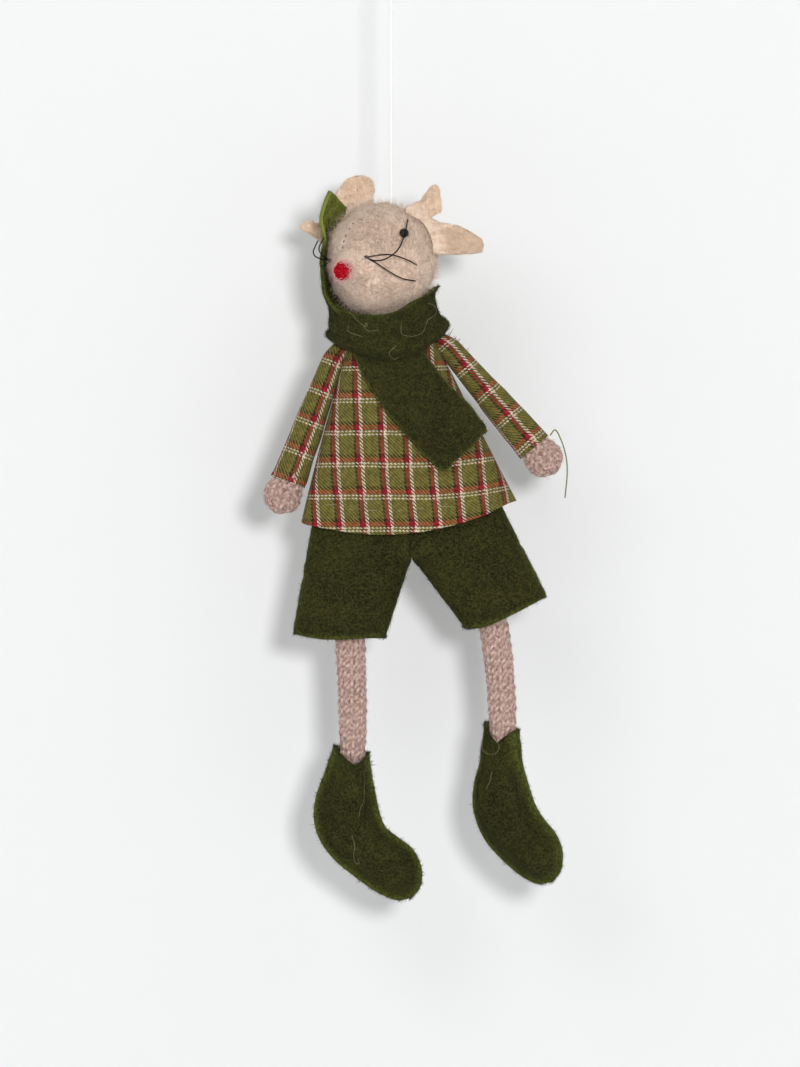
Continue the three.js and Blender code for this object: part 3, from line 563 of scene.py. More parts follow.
def head_finish(name, colours):
    """Heather wool: pale fawn with grey-brown, pink and cream flecks drawn out along the surface. Cream painted light
    is laid over the side of the head towards the muzzle, by the place across, and a cream painted rim light where the
    surface turns away from the eye."""
    fawn, brown, pink, cream = colours
    f = Finish(name, roughness=0.95, sheen=0.8, specular=0.05, sheen_tint=cream, sheen_roughness=0.4)
    base = f.mix(f.spread(f.noise(110, 4), 0.4, 0.65), fawn, pink)
    fleck = f.noise(900, 6, (1, 1, 2), (0, 0.6, 0.2))
    base = f.mix(f.spread(fleck, 0.53, 0.66, 0, 0.52), base, toned(brown, 0.8))
    base = f.mix(f.spread(f.noise(90, 4), 0.5, 0.7, 0, 0.42), base, brown)
    glint = f.noise(640, 5, (3, 1, 1), (0, 0.4, 0))
    base = f.mix(f.spread(glint, 0.55, 0.7, 0, 0.8), base, cream)
    # Painted light: cream laid over the side of the head towards the muzzle, by the place across.
    across = f.add("SeparateXYZ", {0: f.place}).outputs[0]
    base = f.mix(f.spread(across, PAINTED_LIGHT_FROM * MM, PAINTED_LIGHT_TO * MM, 0, 0.95), base, cream)
    # Painted rim light: cream laid where the surface turns away from the eye.
    base = f.mix(f.spread(f.facing(), 0.25, 0.85, 0, 0.8), base, cream)
    f.bump(f.sum("ADD", fleck, glint), 0.6, 0.3)
    return f.colour(base)


def nose_finish(name, red, rim):
    """The pompom's wool, deep red, with a pale painted rim light where the surface turns away from the eye, standing
    for its fibre ends against the light.
    """
    f = Finish(name, roughness=0.95, specular=0.03)
    grain = f.noise(1500, 4)
    base = f.ramp(grain, [(0.3, toned(red, 0.75)), (0.6, red)])
    f.bump(grain, 0.4, 0.15)
    # Painted rim light: the pale rim colour laid where the surface turns away from the eye.
    return f.colour(f.mix(f.spread(f.facing(), 0.42, 0.54), base, rim))


def plaid_finish(name, colours, warp_period, weft_period, pitch):
    """Woven cloth by its pattern places in millimetres. Warp threads take their colour from the place across, weft
    threads from the place up from the hem; the warp is on top where (thread across + thread up) mod 4 is under 2. Each
    thread is round, with painted shade towards its sides, deepest in the hollows between threads."""
    olive, olive_shade, red, cream, dark = colours
    brick = toned(red, 0.9)
    f = Finish(name, roughness=0.85, sheen=0.03, specular=0.08)
    split = f.add("SeparateXYZ", {0: f.add("UVMap", uv_map="cloth").outputs[0]})
    wobble = f.sum("MULTIPLY", f.sum("SUBTRACT", f.noise(160, 2), 0.5), 0.5)
    across, up = (f.sum("ADD", split.outputs[k], wobble) for k in (0, 1))

    def stripes(at, period, stops):
        share = f.sum("DIVIDE", f.sum("FLOORED_MODULO", at, period), period)
        return f.ramp(share, [(place / period, colour) for place, colour in stops], step=True)

    def rounded(thread):
        return f.sum("SINE", f.sum("MULTIPLY", f.sum("FRACT", thread), math.pi))

    warp = stripes(f.sum("SUBTRACT", across, 0.675), warp_period, [
        (0.0, dark), (0.6, red), (1.65, cream), (2.6, olive)])
    weft = stripes(up, weft_period, [
        (0.0, cream), (0.42, olive_shade), (0.86, cream), (1.28, dark), (1.5, brick), (2.75, dark),
        (3.75, olive_shade)])
    i, j = (f.sum("DIVIDE", at, pitch) for at in (across, up))
    number = f.sum("ADD", f.sum("FLOOR", i), f.sum("FLOOR", j))
    top = f.sum("LESS_THAN", f.sum("FLOORED_MODULO", number, 4.0), 2.0)
    woven = f.mix(top, weft, warp)
    height = f.sum("ADD", f.sum("MULTIPLY", top, rounded(i)),
                   f.sum("MULTIPLY", f.sum("SUBTRACT", 1.0, top), rounded(j)))
    # Painted shade: darker towards each thread's sides, deepest in the hollows between threads.
    woven = f.mix(f.spread(height, 0.0, 0.75, 0.72, 0.0), woven, toned(dark, 0.7))
    slub = f.spread(f.noise(900, 4), 0.35, 0.68, 0.7, 1.25)
    woven = f.mix(1.0, woven, f.add("CombineXYZ", {0: slub, 1: slub, 2: slub}).outputs[0], mode="MULTIPLY")
    f.bump(height, 0.5, 0.12)
    return f.colour(woven)


def yarn_finish(name, colour):
    """Spun wool: mottled along the yarn, with painted shade in the grooves where the plies meet, darkest where the
    shade mark is 0.
    """
    f = Finish(name, roughness=0.95, sheen=0.1, specular=0.1)
    dark, light = shades(colour, 0.5, 1.3)
    mottle = f.noise(1300, 4)
    base = f.ramp(mottle, [(0.3, dark), (0.5, colour), (0.72, light)])
    # Painted shade: a dark rose laid where the shade mark is low, in the grooves between plies.
    base = f.mix(f.spread(f.mark("shade"), 0.0, 1.0, 0.8, 0.0), base, linear(132, 92, 82))
    f.bump(mottle, 0.5, 0.15)
    return f.colour(base)


def cord_finish(name, colour):
    """White twisted cotton, with painted shade in the grooves between its plies."""
    f = Finish(name, roughness=0.9, sheen=0.3, specular=0.2)
    f.bump(f.noise(2400, 2), 0.2, 0.03)
    # Painted shade: a darker white laid where the shade mark is under 0.5, in the grooves.
    return f.colour(f.mix(f.spread(f.mark("shade"), 0.0, 0.5, 0.25, 0.0), colour, toned(colour, 0.8)))


def thread_finish(name, colour):
    """A spun thread with a fine uneven colour."""
    f = Finish(name, roughness=0.7, specular=0.1)
    low, high = shades(colour, 0.75, 1.15)
    grain = f.noise(2400, 2)
    f.bump(grain, 0.4, 0.05)
    return f.colour(f.ramp(grain, [(0.35, low), (0.65, high)]))


def bead_finish(name):
    """A black bead, rubbed dull by the wool."""
    f = Finish(name, roughness=0.3, specular=0.25)
    haze = f.noise(900, 3)
    f.tree.links.new(f.spread(haze, 0.4, 0.7, 0.25, 0.4), f.shader.inputs["Roughness"])
    return f.colour(f.ramp(haze, [(0.3, linear(9, 8, 8)), (0.8, linear(22, 19, 18))]))


def wadding_finish(name):
    """Plain undyed cotton over wadding, with a fine weave."""
    f = Finish(name, roughness=0.95)
    grain = f.noise(1800, 3)
    f.bump(grain, 0.5, 0.2)
    return f.colour(f.ramp(grain, [(0.3, linear(214, 207, 194)), (0.7, linear(240, 236, 226))]))


def swept(points, outs, radius, sides, lobes=0, depth=0.0, twist=0.0):
    """Rings along a curve whose first side points out, as far as that stands square to the curve, drawn in by
    depth in the grooves between lobes. Also gives the lobes' wave, 0 in a groove and 1 on top."""
    along = unit(np.gradient(points, axis=0))
    side = unit(outs - along * np.sum(along * outs, -1, keepdims=True))
    wave = lobe_wave(points, sides, lobes, twist)
    return ring_grid(points, along, side, radius * (1 - depth * (1 - wave))), wave


HEAD_ACROSS = np.array([math.cos(SNOUT_YAW), -math.sin(SNOUT_YAW), 0.0])
HEAD_AHEAD = np.array([-math.sin(SNOUT_YAW), -math.cos(SNOUT_YAW), 0.0])
HEAD_AXIS = HEAD_AHEAD * math.cos(SNOUT_PITCH) + np.array([0, 0, -math.sin(SNOUT_PITCH)])
HEAD_UP = np.cross(HEAD_AXIS, HEAD_ACROSS)


def head_profile(count):
    """The head's half outline as (along the snout, radius): an arc from the back of the head to the cheeks and
    a cone that draws in to the snout's tip."""
    angle = np.linspace(math.pi - 0.02, CHEEK, 14)
    arc = np.stack([HEAD_RADIUS * np.cos(angle), HEAD_RADIUS * np.sin(angle)], 1)
    cheek = arc[-1, 0]
    snout = [(cheek + (SNOUT_REACH - cheek) * along, HEAD_RADIUS * max(out, 0.02)) for along, out in SNOUT_SHARES]
    return even_curve(np.vstack([arc, snout]), count)


def head_front(x, rise, lift):
    """The place on the head's front beside and above its middle, lifted off the skin; past the head's side it
    stays level with the muzzle."""
    profile = head_profile(200)
    y = np.linspace(-2 * HEAD_RADIUS, 0, 500)
    p = np.stack([np.full_like(y, x), y, np.full_like(y, rise)], 1)
    along = p @ HEAD_AXIS
    out = np.sqrt(np.maximum((p**2).sum(1) - along**2, 0))
    inside = (out <= np.interp(along, profile[:, 0], profile[:, 1])) & (np.abs(along) < SNOUT_REACH)
    front = y[np.argmax(inside)] if inside.any() else -0.66 * HEAD_RADIUS
    return HEAD + np.array([x, front - lift, rise])


def head_skin(rows, cols):
    """The head's surface: its profile turned about the snout's axis, with soft lumps, a little narrower across
    than deep."""
    profile = head_profile(rows)
    angle = np.arange(cols) / cols * TAU
    ring = np.cos(angle)[:, None] * HEAD_ACROSS + np.sin(angle)[:, None] * HEAD_UP
    skin = HEAD + profile[:, 0, None, None] * HEAD_AXIS + profile[:, 1, None, None] * ring
    lumps = wander(skin, 9, 3) * 0.2 + wander(skin, 3.2, 4) * 0.09
    skin = skin + unit(skin - HEAD) * lumps[..., None]
    skin[..., 0] = HEAD[0] - 0.4 + (skin[..., 0] - HEAD[0]) * 0.97
    return skin


def out_from(skin, normals, middle):
    """Normals turned to point away from a middle place or line of places."""
    return normals * np.sign(np.sum(normals * (skin - middle), -1).mean())


def rim_of(grid, sides):
    """The edge places of an open grid, with the way out of the cloth at each: sides names its first row (a),
    last column (b), last row (c) and first column (d)."""
    edges = {"a": (grid[0], grid[3]), "b": (grid[:, -1], grid[:, -4]),
             "c": (grid[-1], grid[-4]), "d": (grid[:, 0], grid[:, 3])}
    places = np.concatenate([edges[s][0] for s in sides])
    return places, unit(places - np.concatenate([edges[s][1] for s in sides]))


def edge_light_mark(rows, cols, sides, width=3.0):
    """A mark for each place of a grid that falls from 1 at the named edges to 0 a few places in; it sets where the
    felt's painted edge light lies.
    """
    i, j = np.arange(rows)[:, None] + np.zeros((1, cols)), np.arange(cols)[None, :] + np.zeros((rows, 1))
    away = {"a": i, "b": cols - 1 - j, "c": rows - 1 - i, "d": j}
    return level(1 - np.minimum.reduce([away[s] for s in sides]) / width)


def fringe(name, places, outs, count, length, radius, seed, spread=0.7):
    """Loose fibres along a cut edge: each leaves a random place of it, within the cloth's thickness, on a curve
    p + l (w t + c t^2 / 2), where w is the way out with some scatter and c a random bend."""
    rng = np.random.default_rng(seed)
    pick = rng.integers(0, len(places), count)
    across = rng.uniform(-0.5, 0.5, (count, 1)) * np.array([0.3, 1, 0.3])
    way = unit(outs[pick] + rng.normal(0, spread, (count, 3)))
    bend = rng.normal(0, 0.5, (count, 3))
    size = length * rng.uniform(0.3, 1.0, (count, 1)) ** 1.5
    root = places[pick] + across + rng.normal(0, 0.15, (count, 3)) - outs[pick] * 0.4
    lines = np.stack([root + size * (way * t + bend * t**2 / 2) for t in np.linspace(0, 1, 4)], 1)
    return hairs(name, lines, radius, rng.random(count), unit(bend))


def cord_twist(path, outs, radius, sides):
    """The cord's three-ply twist along a path, and its plies' wave."""
    return swept(path, outs, radius, sides, CORD_PLIES, CORD_GROOVE, CORD_TWIST)


def cord_knot(height, radius):
    """A knot of the cord's twist with its middle at a height on the cord's line."""
    middle = np.array([0.0, 0.0, height])
    path = knot_curve(middle, 0.75)
    return cord_twist(path, unit(path - middle), radius, 10)[0]


def make_cord(sizes, finishes):
    """The hanging cord is a three-ply twist, straight under the mouse's weight; its loop is a closed curve of
    the same twist, and its knots are small turns of it."""
    radius = sizes.cord_width / 2
    line = np.stack([np.zeros(90), np.zeros(90), np.linspace(CORD_TOP, CROWN - 1, 90)], 1)
    rings, wave = cord_twist(line, np.broadcast_to([1.0, 0.0, 0.0], line.shape), radius, 12)
    # The plies' wave is the painted shade of the cord's grooves.
    cord = put_on(joined("hanging_cord_twist", [rings], [wave]), finishes["cord"], "cord", "hanging_cord")

    half = np.array([(0.42, 0.17), (0.5, 0.42), (0.25, 0.78)]) * (LOOP_WIDTH, -LOOP_HEIGHT)
    low = CORD_TOP + KNOT_GAP + KNOT_HALF
    places = [(0, 0.4), *half, (0, low), *(half * (-1, 1))[::-1], (0, 0.4)]
    curve = even_curve([(x, 0.0, z) for x, z in places], 120)
    rings, _ = cord_twist(curve, np.broadcast_to([0.0, -1.0, 0.0], curve.shape), radius, 10)
    loop = joined("hanging_loop_twist", [rings, cord_knot(low, radius)])
    put_on(loop, finishes["cord"], "hanger", "hanging_loop")

    anchor = cord_knot(CROWN - ANCHOR_DROP - KNOT_GAP - KNOT_HALF, radius)
    put_on(joined("cord_end_knot", [anchor]), finishes["cord"], "cord", "cord_anchor_knot")


HEAD_STITCHES = {
    "line": [(-1.5, 14.2), (-3.8, 13.3), (-6.5, 11.8), (-8.4, 9.5), (-9.8, 7.2), (-10.6, 5.1), (-11, 2.5)],
    "dashes": [(4, 9), (17, 25), (33, 37), (44, 51), (58, 62), (70, 76), (86, 92), (100, 104), (112, 117)],
}


def knot_curve(middle, size):
    """An overhand knot: (sin t + 2 sin 2t, cos t - 2 cos 2t, -sin 3t) scaled down."""
    t = np.linspace(0.15, TAU - 0.15, 60)
    shape = np.stack([np.sin(t) + 2 * np.sin(2 * t), -np.sin(3 * t), np.cos(t) - 2 * np.cos(2 * t)], 1)
    return middle + shape / 3 * size


def make_head(sizes, finishes):
    """The felted head, closed and stuffed, with its nap, its wisps and pale down where the scarf's second end
    doesn't cover it, and the running stitch over its middle."""
    rows, cols = 120, 144
    skin = head_skin(rows, cols)
    head = put_on(capped("head_wool", skin), finishes["head"], "head", "head_cover", "head_filling")
    normals = out_from(skin, grid_normals(skin, True), HEAD)
    away = skin - HEAD
    covered = (away[..., 0] < -8.5) & (away[..., 1] > -1.0) & (away[..., 2] < 12)

    def bare(row, col):
        return 1.0 - covered[(row * (rows - 1)).astype(int), (col * cols).astype(int)]

    for name, finish, count, length, radius, lift, seed, steps, keep in (
        ("head_nap", "head_fibre", sizes.head_hairs, 3.4, 0.034, 0.3, 11, 5, None),
        ("head_wisps", "head_fibre", sizes.head_hairs // 8, 3.6, 0.026, 1.5, 12, 6, bare),
        ("head_down", "pale_fibre", sizes.head_hairs, 1.9, 0.034, 1.5, 13, 4, bare),
    ):
        fuzz = nap(name, skin, normals, count, length, radius, lift, seed, steps=steps, keep=keep)
        put_on(fuzz, finishes[finish], "head")

    line = even_curve(HEAD_STITCHES["line"], 120)
    stitches = []
    for start, end in HEAD_STITCHES["dashes"]:
        lift = 0.1 + 0.2 * np.sin(np.linspace(0, math.pi, end - start))
        place = np.array([head_front(x, rise, off) for (x, rise), off in zip(line[start:end], lift)])
        stitches.append(tube(place, 0.15, 6))
    put_on(joined("head_seam_stitches", stitches), finishes["seam_thread"], "head")


def ball_ways(rows, cols, pole):
    """The ways out from a ball's middle, by height and turn, on a grid that stops just short of its poles."""
    rise = np.linspace(pole - math.pi / 2, math.pi / 2 - pole, rows)[:, None]
    turn = np.arange(cols)[None, :] / cols * TAU
    return np.stack([np.cos(rise) * np.cos(turn), np.cos(rise) * np.sin(turn), np.sin(rise) + 0 * turn], -1)


def make_nose(sizes, finishes):
    """The pompom is a ball covered all over with short straight fibres, red ahead; the fibres round its rim are pale
    pink, painted rim light.
    """
    middle = HEAD + HEAD_AXIS * (SNOUT_REACH + NOSE_RADIUS - 0.4) + np.array([0.6, 0, 0])
    rows, cols = 40, 48
    ways = ball_ways(rows, cols, 0.06)
    ball = middle + ways * (NOSE_RADIUS - 0.18 + 0.08 * wander(ways * NOSE_RADIUS, 1.2, 21)[..., None])
    put_on(capped("nose_ball", ball), finishes["nose"], "head", "nose_pompom")
    ahead = (ways * HEAD_AXIS).sum(-1)

    def at_rim(row, col):
        return ahead[(row * (rows - 1)).astype(int), (col * cols).astype(int)] < 0.4

    fuzz = nap("nose_nap", ball, ways, 500, 0.4, 0.022, 0.06, 22, keep=lambda row, col: 1.0 - at_rim(row, col))
    put_on(fuzz, finishes["nose_fibre"], "head")
    # Painted rim light: the fibres round the ball's rim take the pale pink finish.
    halo = nap("nose_halo", ball, ways, 1100, 1.0, 0.034, 0.75, 23, keep=at_rim)
    put_on(halo, finishes["halo_fibre"], "head")


def make_eyes(sizes, finishes):
    """Each eye is a round bead half sunk in the wool."""
    rise, out = math.sin(EYE_RISE), math.sin(EYE_OUT)
    ahead = math.sqrt(1 - rise**2 - out**2)
    ways = ball_ways(32, 40, 0.05)
    for name, side in SIDES.items():
        way = HEAD_ACROSS * out * side + HEAD_AHEAD * ahead + np.array([0, 0, rise])
        bead = capped("eye_bead_" + name, HEAD + way * (HEAD_RADIUS + EYE_RADIUS / 2) + ways * EYE_RADIUS)
        put_on(bead, finishes["bead"], "head", "eye_" + name)


WHISKERS = {
    "left": ((-0.29, 0.02), [
        [(-0.02, 0.06, 0.2), (0.18, 0.06, 0.35), (0.45, -0.03, 0.45), (0.62, -0.12, 0.5)],
        [(-0.12, -0.07, 0.22), (0.07, -0.2, 0.32), (0.34, -0.35, 0.38), (0.6, -0.4, 0.45)],
        [(-0.12, -0.04, 0.24), (0.09, 0, 0.36), (0.29, 0.16, 0.4), (0.4, 0.42, 0.45), (0.46, 0.7, 0.5)],
    ]),
    "right": ((-0.92, -0.02), [
        [(-1.08, 0.0, 0.1), (-1.18, 0.04, 0.2), (-1.22, 0.12, 0.24), (-1.19, 0.21, 0.26), (-1.14, 0.32, 0.28)],
        [(-1.04, 0.05, 0.14), (-1.11, 0.13, 0.24), (-1.11, 0.22, 0.27), (-1.03, 0.38, 0.3)],
        [(-0.98, -0.07, 0.1), (-1.04, -0.12, 0.16), (-1.1, -0.13, 0.2)],
    ]),
}


def make_whiskers(sizes, finishes):
    """Three strands of dark thread from one knot on each side, drawn in the air by a smooth curve."""
    r = HEAD_RADIUS
    for side, (knot, strands) in WHISKERS.items():
        start = head_front(knot[0] * r, knot[1] * r, 0.1)
        grids = []
        for strand in strands:
            places = [start] + [head_front(a * r, u * r, off * r / 2 + 0.5) for a, u, off in strand]
            grids.append(tube(even_curve(places, 60), sizes.whisker_width / 2, 8, 2, 0.3, 5.0))
        for off, size in (((0, -0.15, 0), 0.42), ((0.2, -0.3, 0.2), 0.3)):
            grids.append(tube(knot_curve(start + np.array(off), size), 0.13, 6))
        piece = joined("whisker_strands_" + side, grids)
        put_on(piece, finishes["dark_thread"], "head", "whiskers_" + side)


EARS = {
    "left": {
        "base": [(0.42, 0.84), (0.6, 0.74), (0.72, 0.66), (0.78, 0.58), (0.86, 0.42), (0.9, 0.26), (0.92, 0.1)],
        "edge": [
            (0.44, 0.93), (0.67, 1.05), (0.77, 1.1), (0.85, 1.21), (0.92, 1.32), (0.99, 1.3), (1.03, 1.17),
            (1.06, 0.85), (0.97, 0.87), (0.86, 0.82), (0.84, 0.76), (1.01, 0.66), (1.17, 0.64), (1.4, 0.58),
            (1.6, 0.47), (1.75, 0.38), (1.8, 0.3), (1.8, 0.2), (1.75, 0.12), (1.5, 0.11), (1.1, 0.08),
            (0.94, 0.1)],
        "y": -6.4, "curl": 0.25},
    "right": {
        "base": [(-0.14, 0.72), (-0.35, 0.78), (-0.5, 0.76), (-0.66, 0.66), (-0.78, 0.5), (-0.86, 0.38), (-0.9, 0.3)],
        "edge": [
            (-0.17, 0.8), (-0.16, 1.12), (-0.15, 1.3), (-0.16, 1.41), (-0.23, 1.48), (-0.41, 1.52), (-0.6, 1.47),
            (-0.72, 1.37), (-0.82, 1.19), (-0.93, 0.85), (-1.14, 0.66), (-1.33, 0.71), (-1.47, 0.61),
            (-1.26, 0.46), (-1.12, 0.35), (-0.92, 0.28)],
        "y": 8.6, "curl": 0.1},
}


def make_ears(sizes, finishes):
    """Each ear is a felt leaf ruled from its seat on the head, A(v), to its cut edge, B(v): A + (B - A) u, which
    curls away from the face as it goes out and carries soft folds along its rulings."""
    rows, cols = 34, 170
    for side, ear in EARS.items():
        edge = even_curve(np.array(ear["edge"]) * HEAD_RADIUS, cols)
        base = even_curve(np.array(ear["base"]) * HEAD_RADIUS, cols)
        u = np.linspace(0, 1, rows)[:, None, None]
        flat = base + (edge - base) * u
        out = np.maximum(np.linalg.norm(flat, axis=-1) - HEAD_RADIUS, 0)
        v = np.linspace(0, 1, cols)[None, :]
        fold = 0.45 * np.sin(v * TAU * 2.3 + 0.6) * (out / 6) ** 1.2
        y = ear["y"] + ear["curl"] * out + fold
        middle = np.stack([flat[..., 0], y, flat[..., 1]], -1) + HEAD
        middle[..., 1] += 0.3 * wander(middle, 4, 31)
        middle += 0.1 * np.stack([wander(middle, 2.2, 35), 0 * y, wander(middle, 2.2, 36)], -1) * u
        normal = grid_normals(middle, False)
        normal *= np.sign(-normal[..., 1].mean())
        thick = 0.65 * np.sqrt(1 - 0.75 * level((u[..., 0] - 0.86) * 7) * level(out / 1.5))[..., None]
        front, back = middle + normal * thick, middle - normal * thick
        root = 1 - level((out - 0.6) / 3.4)
        # Painted shade: the left ear's lower lobe, which tilts down away from the light, is marked to darken it; the
        # right ear gets none.
        low = 0.75 * level((v - 0.52) / 0.1) + 0 * root if side == "left" else 0 * root
        piece = cloth("ear_leaf_" + side, front, back, False, {"root": root, "low": low})
        put_on(piece, finishes["ear"], "head", "ear_" + side)
        count = sizes.ear_hairs
        rim, outs = rim_of(middle, "c")
        for fuzz in (
            nap("ear_nap_" + side, front, normal, count, 1.8, 0.03, 0.35, 33, around=False),
            nap("ear_back_nap_" + side, back, -normal, count, 1.8, 0.03, 0.35, 34, around=False),
            fringe("ear_edge_fibres_" + side, rim, outs, count, 1.1, 0.028, 37, 0.8),
        ):
            put_on(fuzz, finishes["ear_fibre"], "head")


WRAP_SHARES = [(0, 0.74), (0.1, 0.9), (0.25, 1), (0.45, 0.96), (0.65, 0.9), (0.85, 0.87), (1, 0.85)]


def on_skin(skin, x, z, lift):
    """Places on the front of a grid: beside and above as given, as deep as the skin's nearest point there."""
    flat = skin.reshape(-1, 3)
    flat = flat[flat[:, 1] < np.median(flat[:, 1])]
    near = np.argmin(np.hypot(flat[:, 0] - x[:, None], flat[:, 2] - z[:, None]), 1)
    return np.stack([x, flat[near, 1] - lift, z], 1)


def strays(name, skin, paths, radius, finish, body, lift=0.3):
    """Loose fibres laid on a skin along smooth curves given as (x, z) places seen from straight ahead."""
    grids = []
    for path in paths:
        curve = even_curve(np.array(path, float), 16 * len(path))
        places = on_skin(skin, curve[:, 0], curve[:, 1], lift)
        weights = np.array([1, 2, 3, 2, 1]) / 9
        places[2:-2, 1] = np.convolve(places[:, 1], weights, "valid")
        grids.append(tube(places, radius, 6))
    put_on(joined(name, grids), finish, body)


WRAP_STRAYS = [
    [(-16.3, -116), (-14, -116.9), (-11.4, -118.6), (-9.3, -120.9), (-7.2, -122.4), (-6.6, -122), (-7, -121.6),
     (-7.4, -122.6), (-6.8, -123.4), (-5.8, -123.8), (-3.6, -123.5)],
    [(10.3, -115.8), (12.2, -116.6), (12.7, -118.2), (11.9, -119.5), (10.3, -120.6), (9.4, -123), (8.4, -124.4),
     (6, -125.2), (3.3, -124.8), (2.8, -123.5), (2.9, -121.4)],
    [(-11.8, -122.2), (-11.9, -123.8), (-10.1, -124.6), (-7.9, -125.3)],
    [(1.5, -127.8), (-0.5, -130), (0.8, -131.6), (2.2, -131)],
]


def wrap_place(angle, share, inset):
    """A place on the scarf's wrap: radius by share up it, flattened front to back, lower at the front."""
    front = np.clip(-np.sin(angle), 0, None) ** 1.5
    left, right = np.clip(-np.cos(angle), 0, None), np.clip(np.cos(angle), 0, None)
    top = WRAP_TOP - 7.8 * front - 3.0 * left**2
    bottom = WRAP_TOP - WRAP_HEIGHT - 6.2 * front * 0.85 + 0.9 * left
    hollow = 1.3 * right * np.exp(-(((share - 0.45) / 0.2) ** 2))
    radius = WRAP_RADIUS * read_table(WRAP_SHARES, share)[0] - inset - hollow
    x = -1.44 * share + radius * np.cos(angle)
    return np.stack([x, radius * 0.86 * np.sin(angle), bottom + (top - bottom) * share], -1)


def clear_of_head(points, gap):
    """Points moved straight away from the head's middle to stay a gap off the ball."""
    off = points - HEAD
    d = np.linalg.norm(off, axis=-1, keepdims=True)
    return HEAD + off * np.maximum(d, HEAD_RADIUS + gap) / d


def make_wrap(sizes, finishes):
    """The scarf round the neck: a felt ring whose surface carries the rolls of its two layers."""
    rows, cols = 70, 200
    share = np.linspace(0, 1, rows)[:, None] + np.zeros((1, cols))
    angle = np.arange(cols)[None, :] / cols * TAU + np.zeros((rows, 1))
    left = np.clip(-np.cos(angle), 0, 1)
    crease = np.exp(-((share - 0.42 - 0.14 * np.sin(angle)) / 0.07) ** 2) * (0.25 + 0.8 * left)
    soft = 0.14 * np.sin(3 * angle + 7 * share) * np.sin(math.pi * share)
    roll = 0.5 * np.exp(-((share - 0.2) / 0.15) ** 2) - crease + soft
    outer = in_torso(wrap_place(angle, share, -0.1 - roll))
    outer = outer + unit(outer - NECK) * (0.18 * wander(outer, 5, 41))[..., None]
    inner = in_torso(wrap_place(angle, share, 2.1))
    outer, inner = clear_of_head(outer, 1.8), clear_of_head(inner, 0.6)
    # Painted light: the rim mark lays a lighter green along the wrap's top cut edge.
    wrap = cloth("scarf_wrap_felt", outer, inner, True, {"rim": edge_light_mark(rows, cols, "c", 2.5)})
    put_on(wrap, finishes["felt"], "torso", "scarf_wrap")
    normals = out_from(outer, grid_normals(outer, True), NECK)
    fuzz = nap("scarf_wrap_nap", outer, normals, sizes.scarf_hairs, 2.6, 0.034, 0.45, 42)
    loose = fringe("scarf_wrap_rim_fibres", *rim_of(outer, "c"), 900, 1.2, 0.034, 43)
    for part in (fuzz, loose):
        put_on(part, finishes["felt_fibre"], "torso")
    strays("wrap_stray_fibres", outer, WRAP_STRAYS, 0.042, finishes["stray"], "torso")


def bent_felt(piece, fibres, finishes, a, b, start, end, *nodes):
    """Dresses a felt piece and its fibres, bakes their places into their meshes and hides the nodes that the felt
    stands in for. The bodies a and b and the bend's ends, start and end, are not used."""
    dressed(piece, finishes["felt"])
    for part in fibres:
        dressed(part, finishes["felt_fibre"])
    for part in (piece, *fibres):
        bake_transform(part)
    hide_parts(*nodes)


def shirt_half(down):
    """The tunic's half width and half depth at a distance down its axis."""
    share = (down - SHIRT_TOP) / SHIRT_LENGTH
    return (SHIRT_TOP_WIDTH + SHIRT_FLARE * share) / 2, (SHIRT_TOP_DEPTH + SHIRT_SWELL * share) / 2


def make_front_tail(sizes, finishes):
    """The scarf's front end: a strip ruled between its two long edges, lying on the tunic's front; its top runs
    in under the wrap and its far corners are rounded."""
    inner = np.array([(-0.56, -0.14), (-0.477, 0.022), (-0.297, 0.28), (0.082, 0.636), (0.426, 0.91), (0.59, 1.0)])
    outer = np.array([(0.4, -0.16), (0.523, 0), (0.759, 0.224), (1.056, 0.445), (1.2, 0.589), (1.272, 0.667)])
    rows, cols = 110, 60
    a, b = even_curve(inner, rows), even_curve(outer, rows)
    along = np.linspace(0, 1, rows)[:, None, None]
    near_end = np.clip((along - 0.93) / 0.07, 0, 1)
    j = 0.5 + (np.linspace(0, 1, cols)[None, :, None] - 0.5) * (1 - 0.1 * near_end**2.5)
    flat = a[:, None] * (1 - j) + b[:, None] * j
    x, down = flat[..., 0] * TAIL_WIDTH, 12.1 + flat[..., 1] * TAIL_LENGTH
    width, depth = shirt_half(down)
    bulge = depth * (1 - 0.25 * (x / width) ** 2)
    middle = np.stack([x, -bulge - 1.25, -down], -1)
    middle[..., 1] += 0.22 * wander(middle, 9, 51) - 0.3 * (1 - along[..., 0]) ** 4
    middle[..., 0] += 0.12 * wander(middle, 5, 53)
    middle = in_torso(middle)
    half = np.array([0, 0.65, 0])
    front, back = middle - half, middle + half
    # Painted light: the rim mark lays a lighter green along the strip's long cut edges and its far end.
    piece = cloth("scarf_end_felt", front, back, False, {"rim": edge_light_mark(rows, cols, "bcd", 2.0)})
    normals = out_from(front, grid_normals(front, False), middle + [0, 9, 0])
    fuzz = nap("scarf_end_nap", front, normals, sizes.scarf_hairs // 2, 2.6, 0.034, 0.42, 52, around=False)
    loose = fringe("scarf_end_rim_fibres", *rim_of(middle, "bcd"), 1500, 1.0, 0.034, 54)
    bent_felt(piece, (fuzz, loose), finishes, "torso", "scarf_tail", (0.0, -10.45, -130.5), (1.2, -10.45, -137.0),
              "scarf_front_tail")


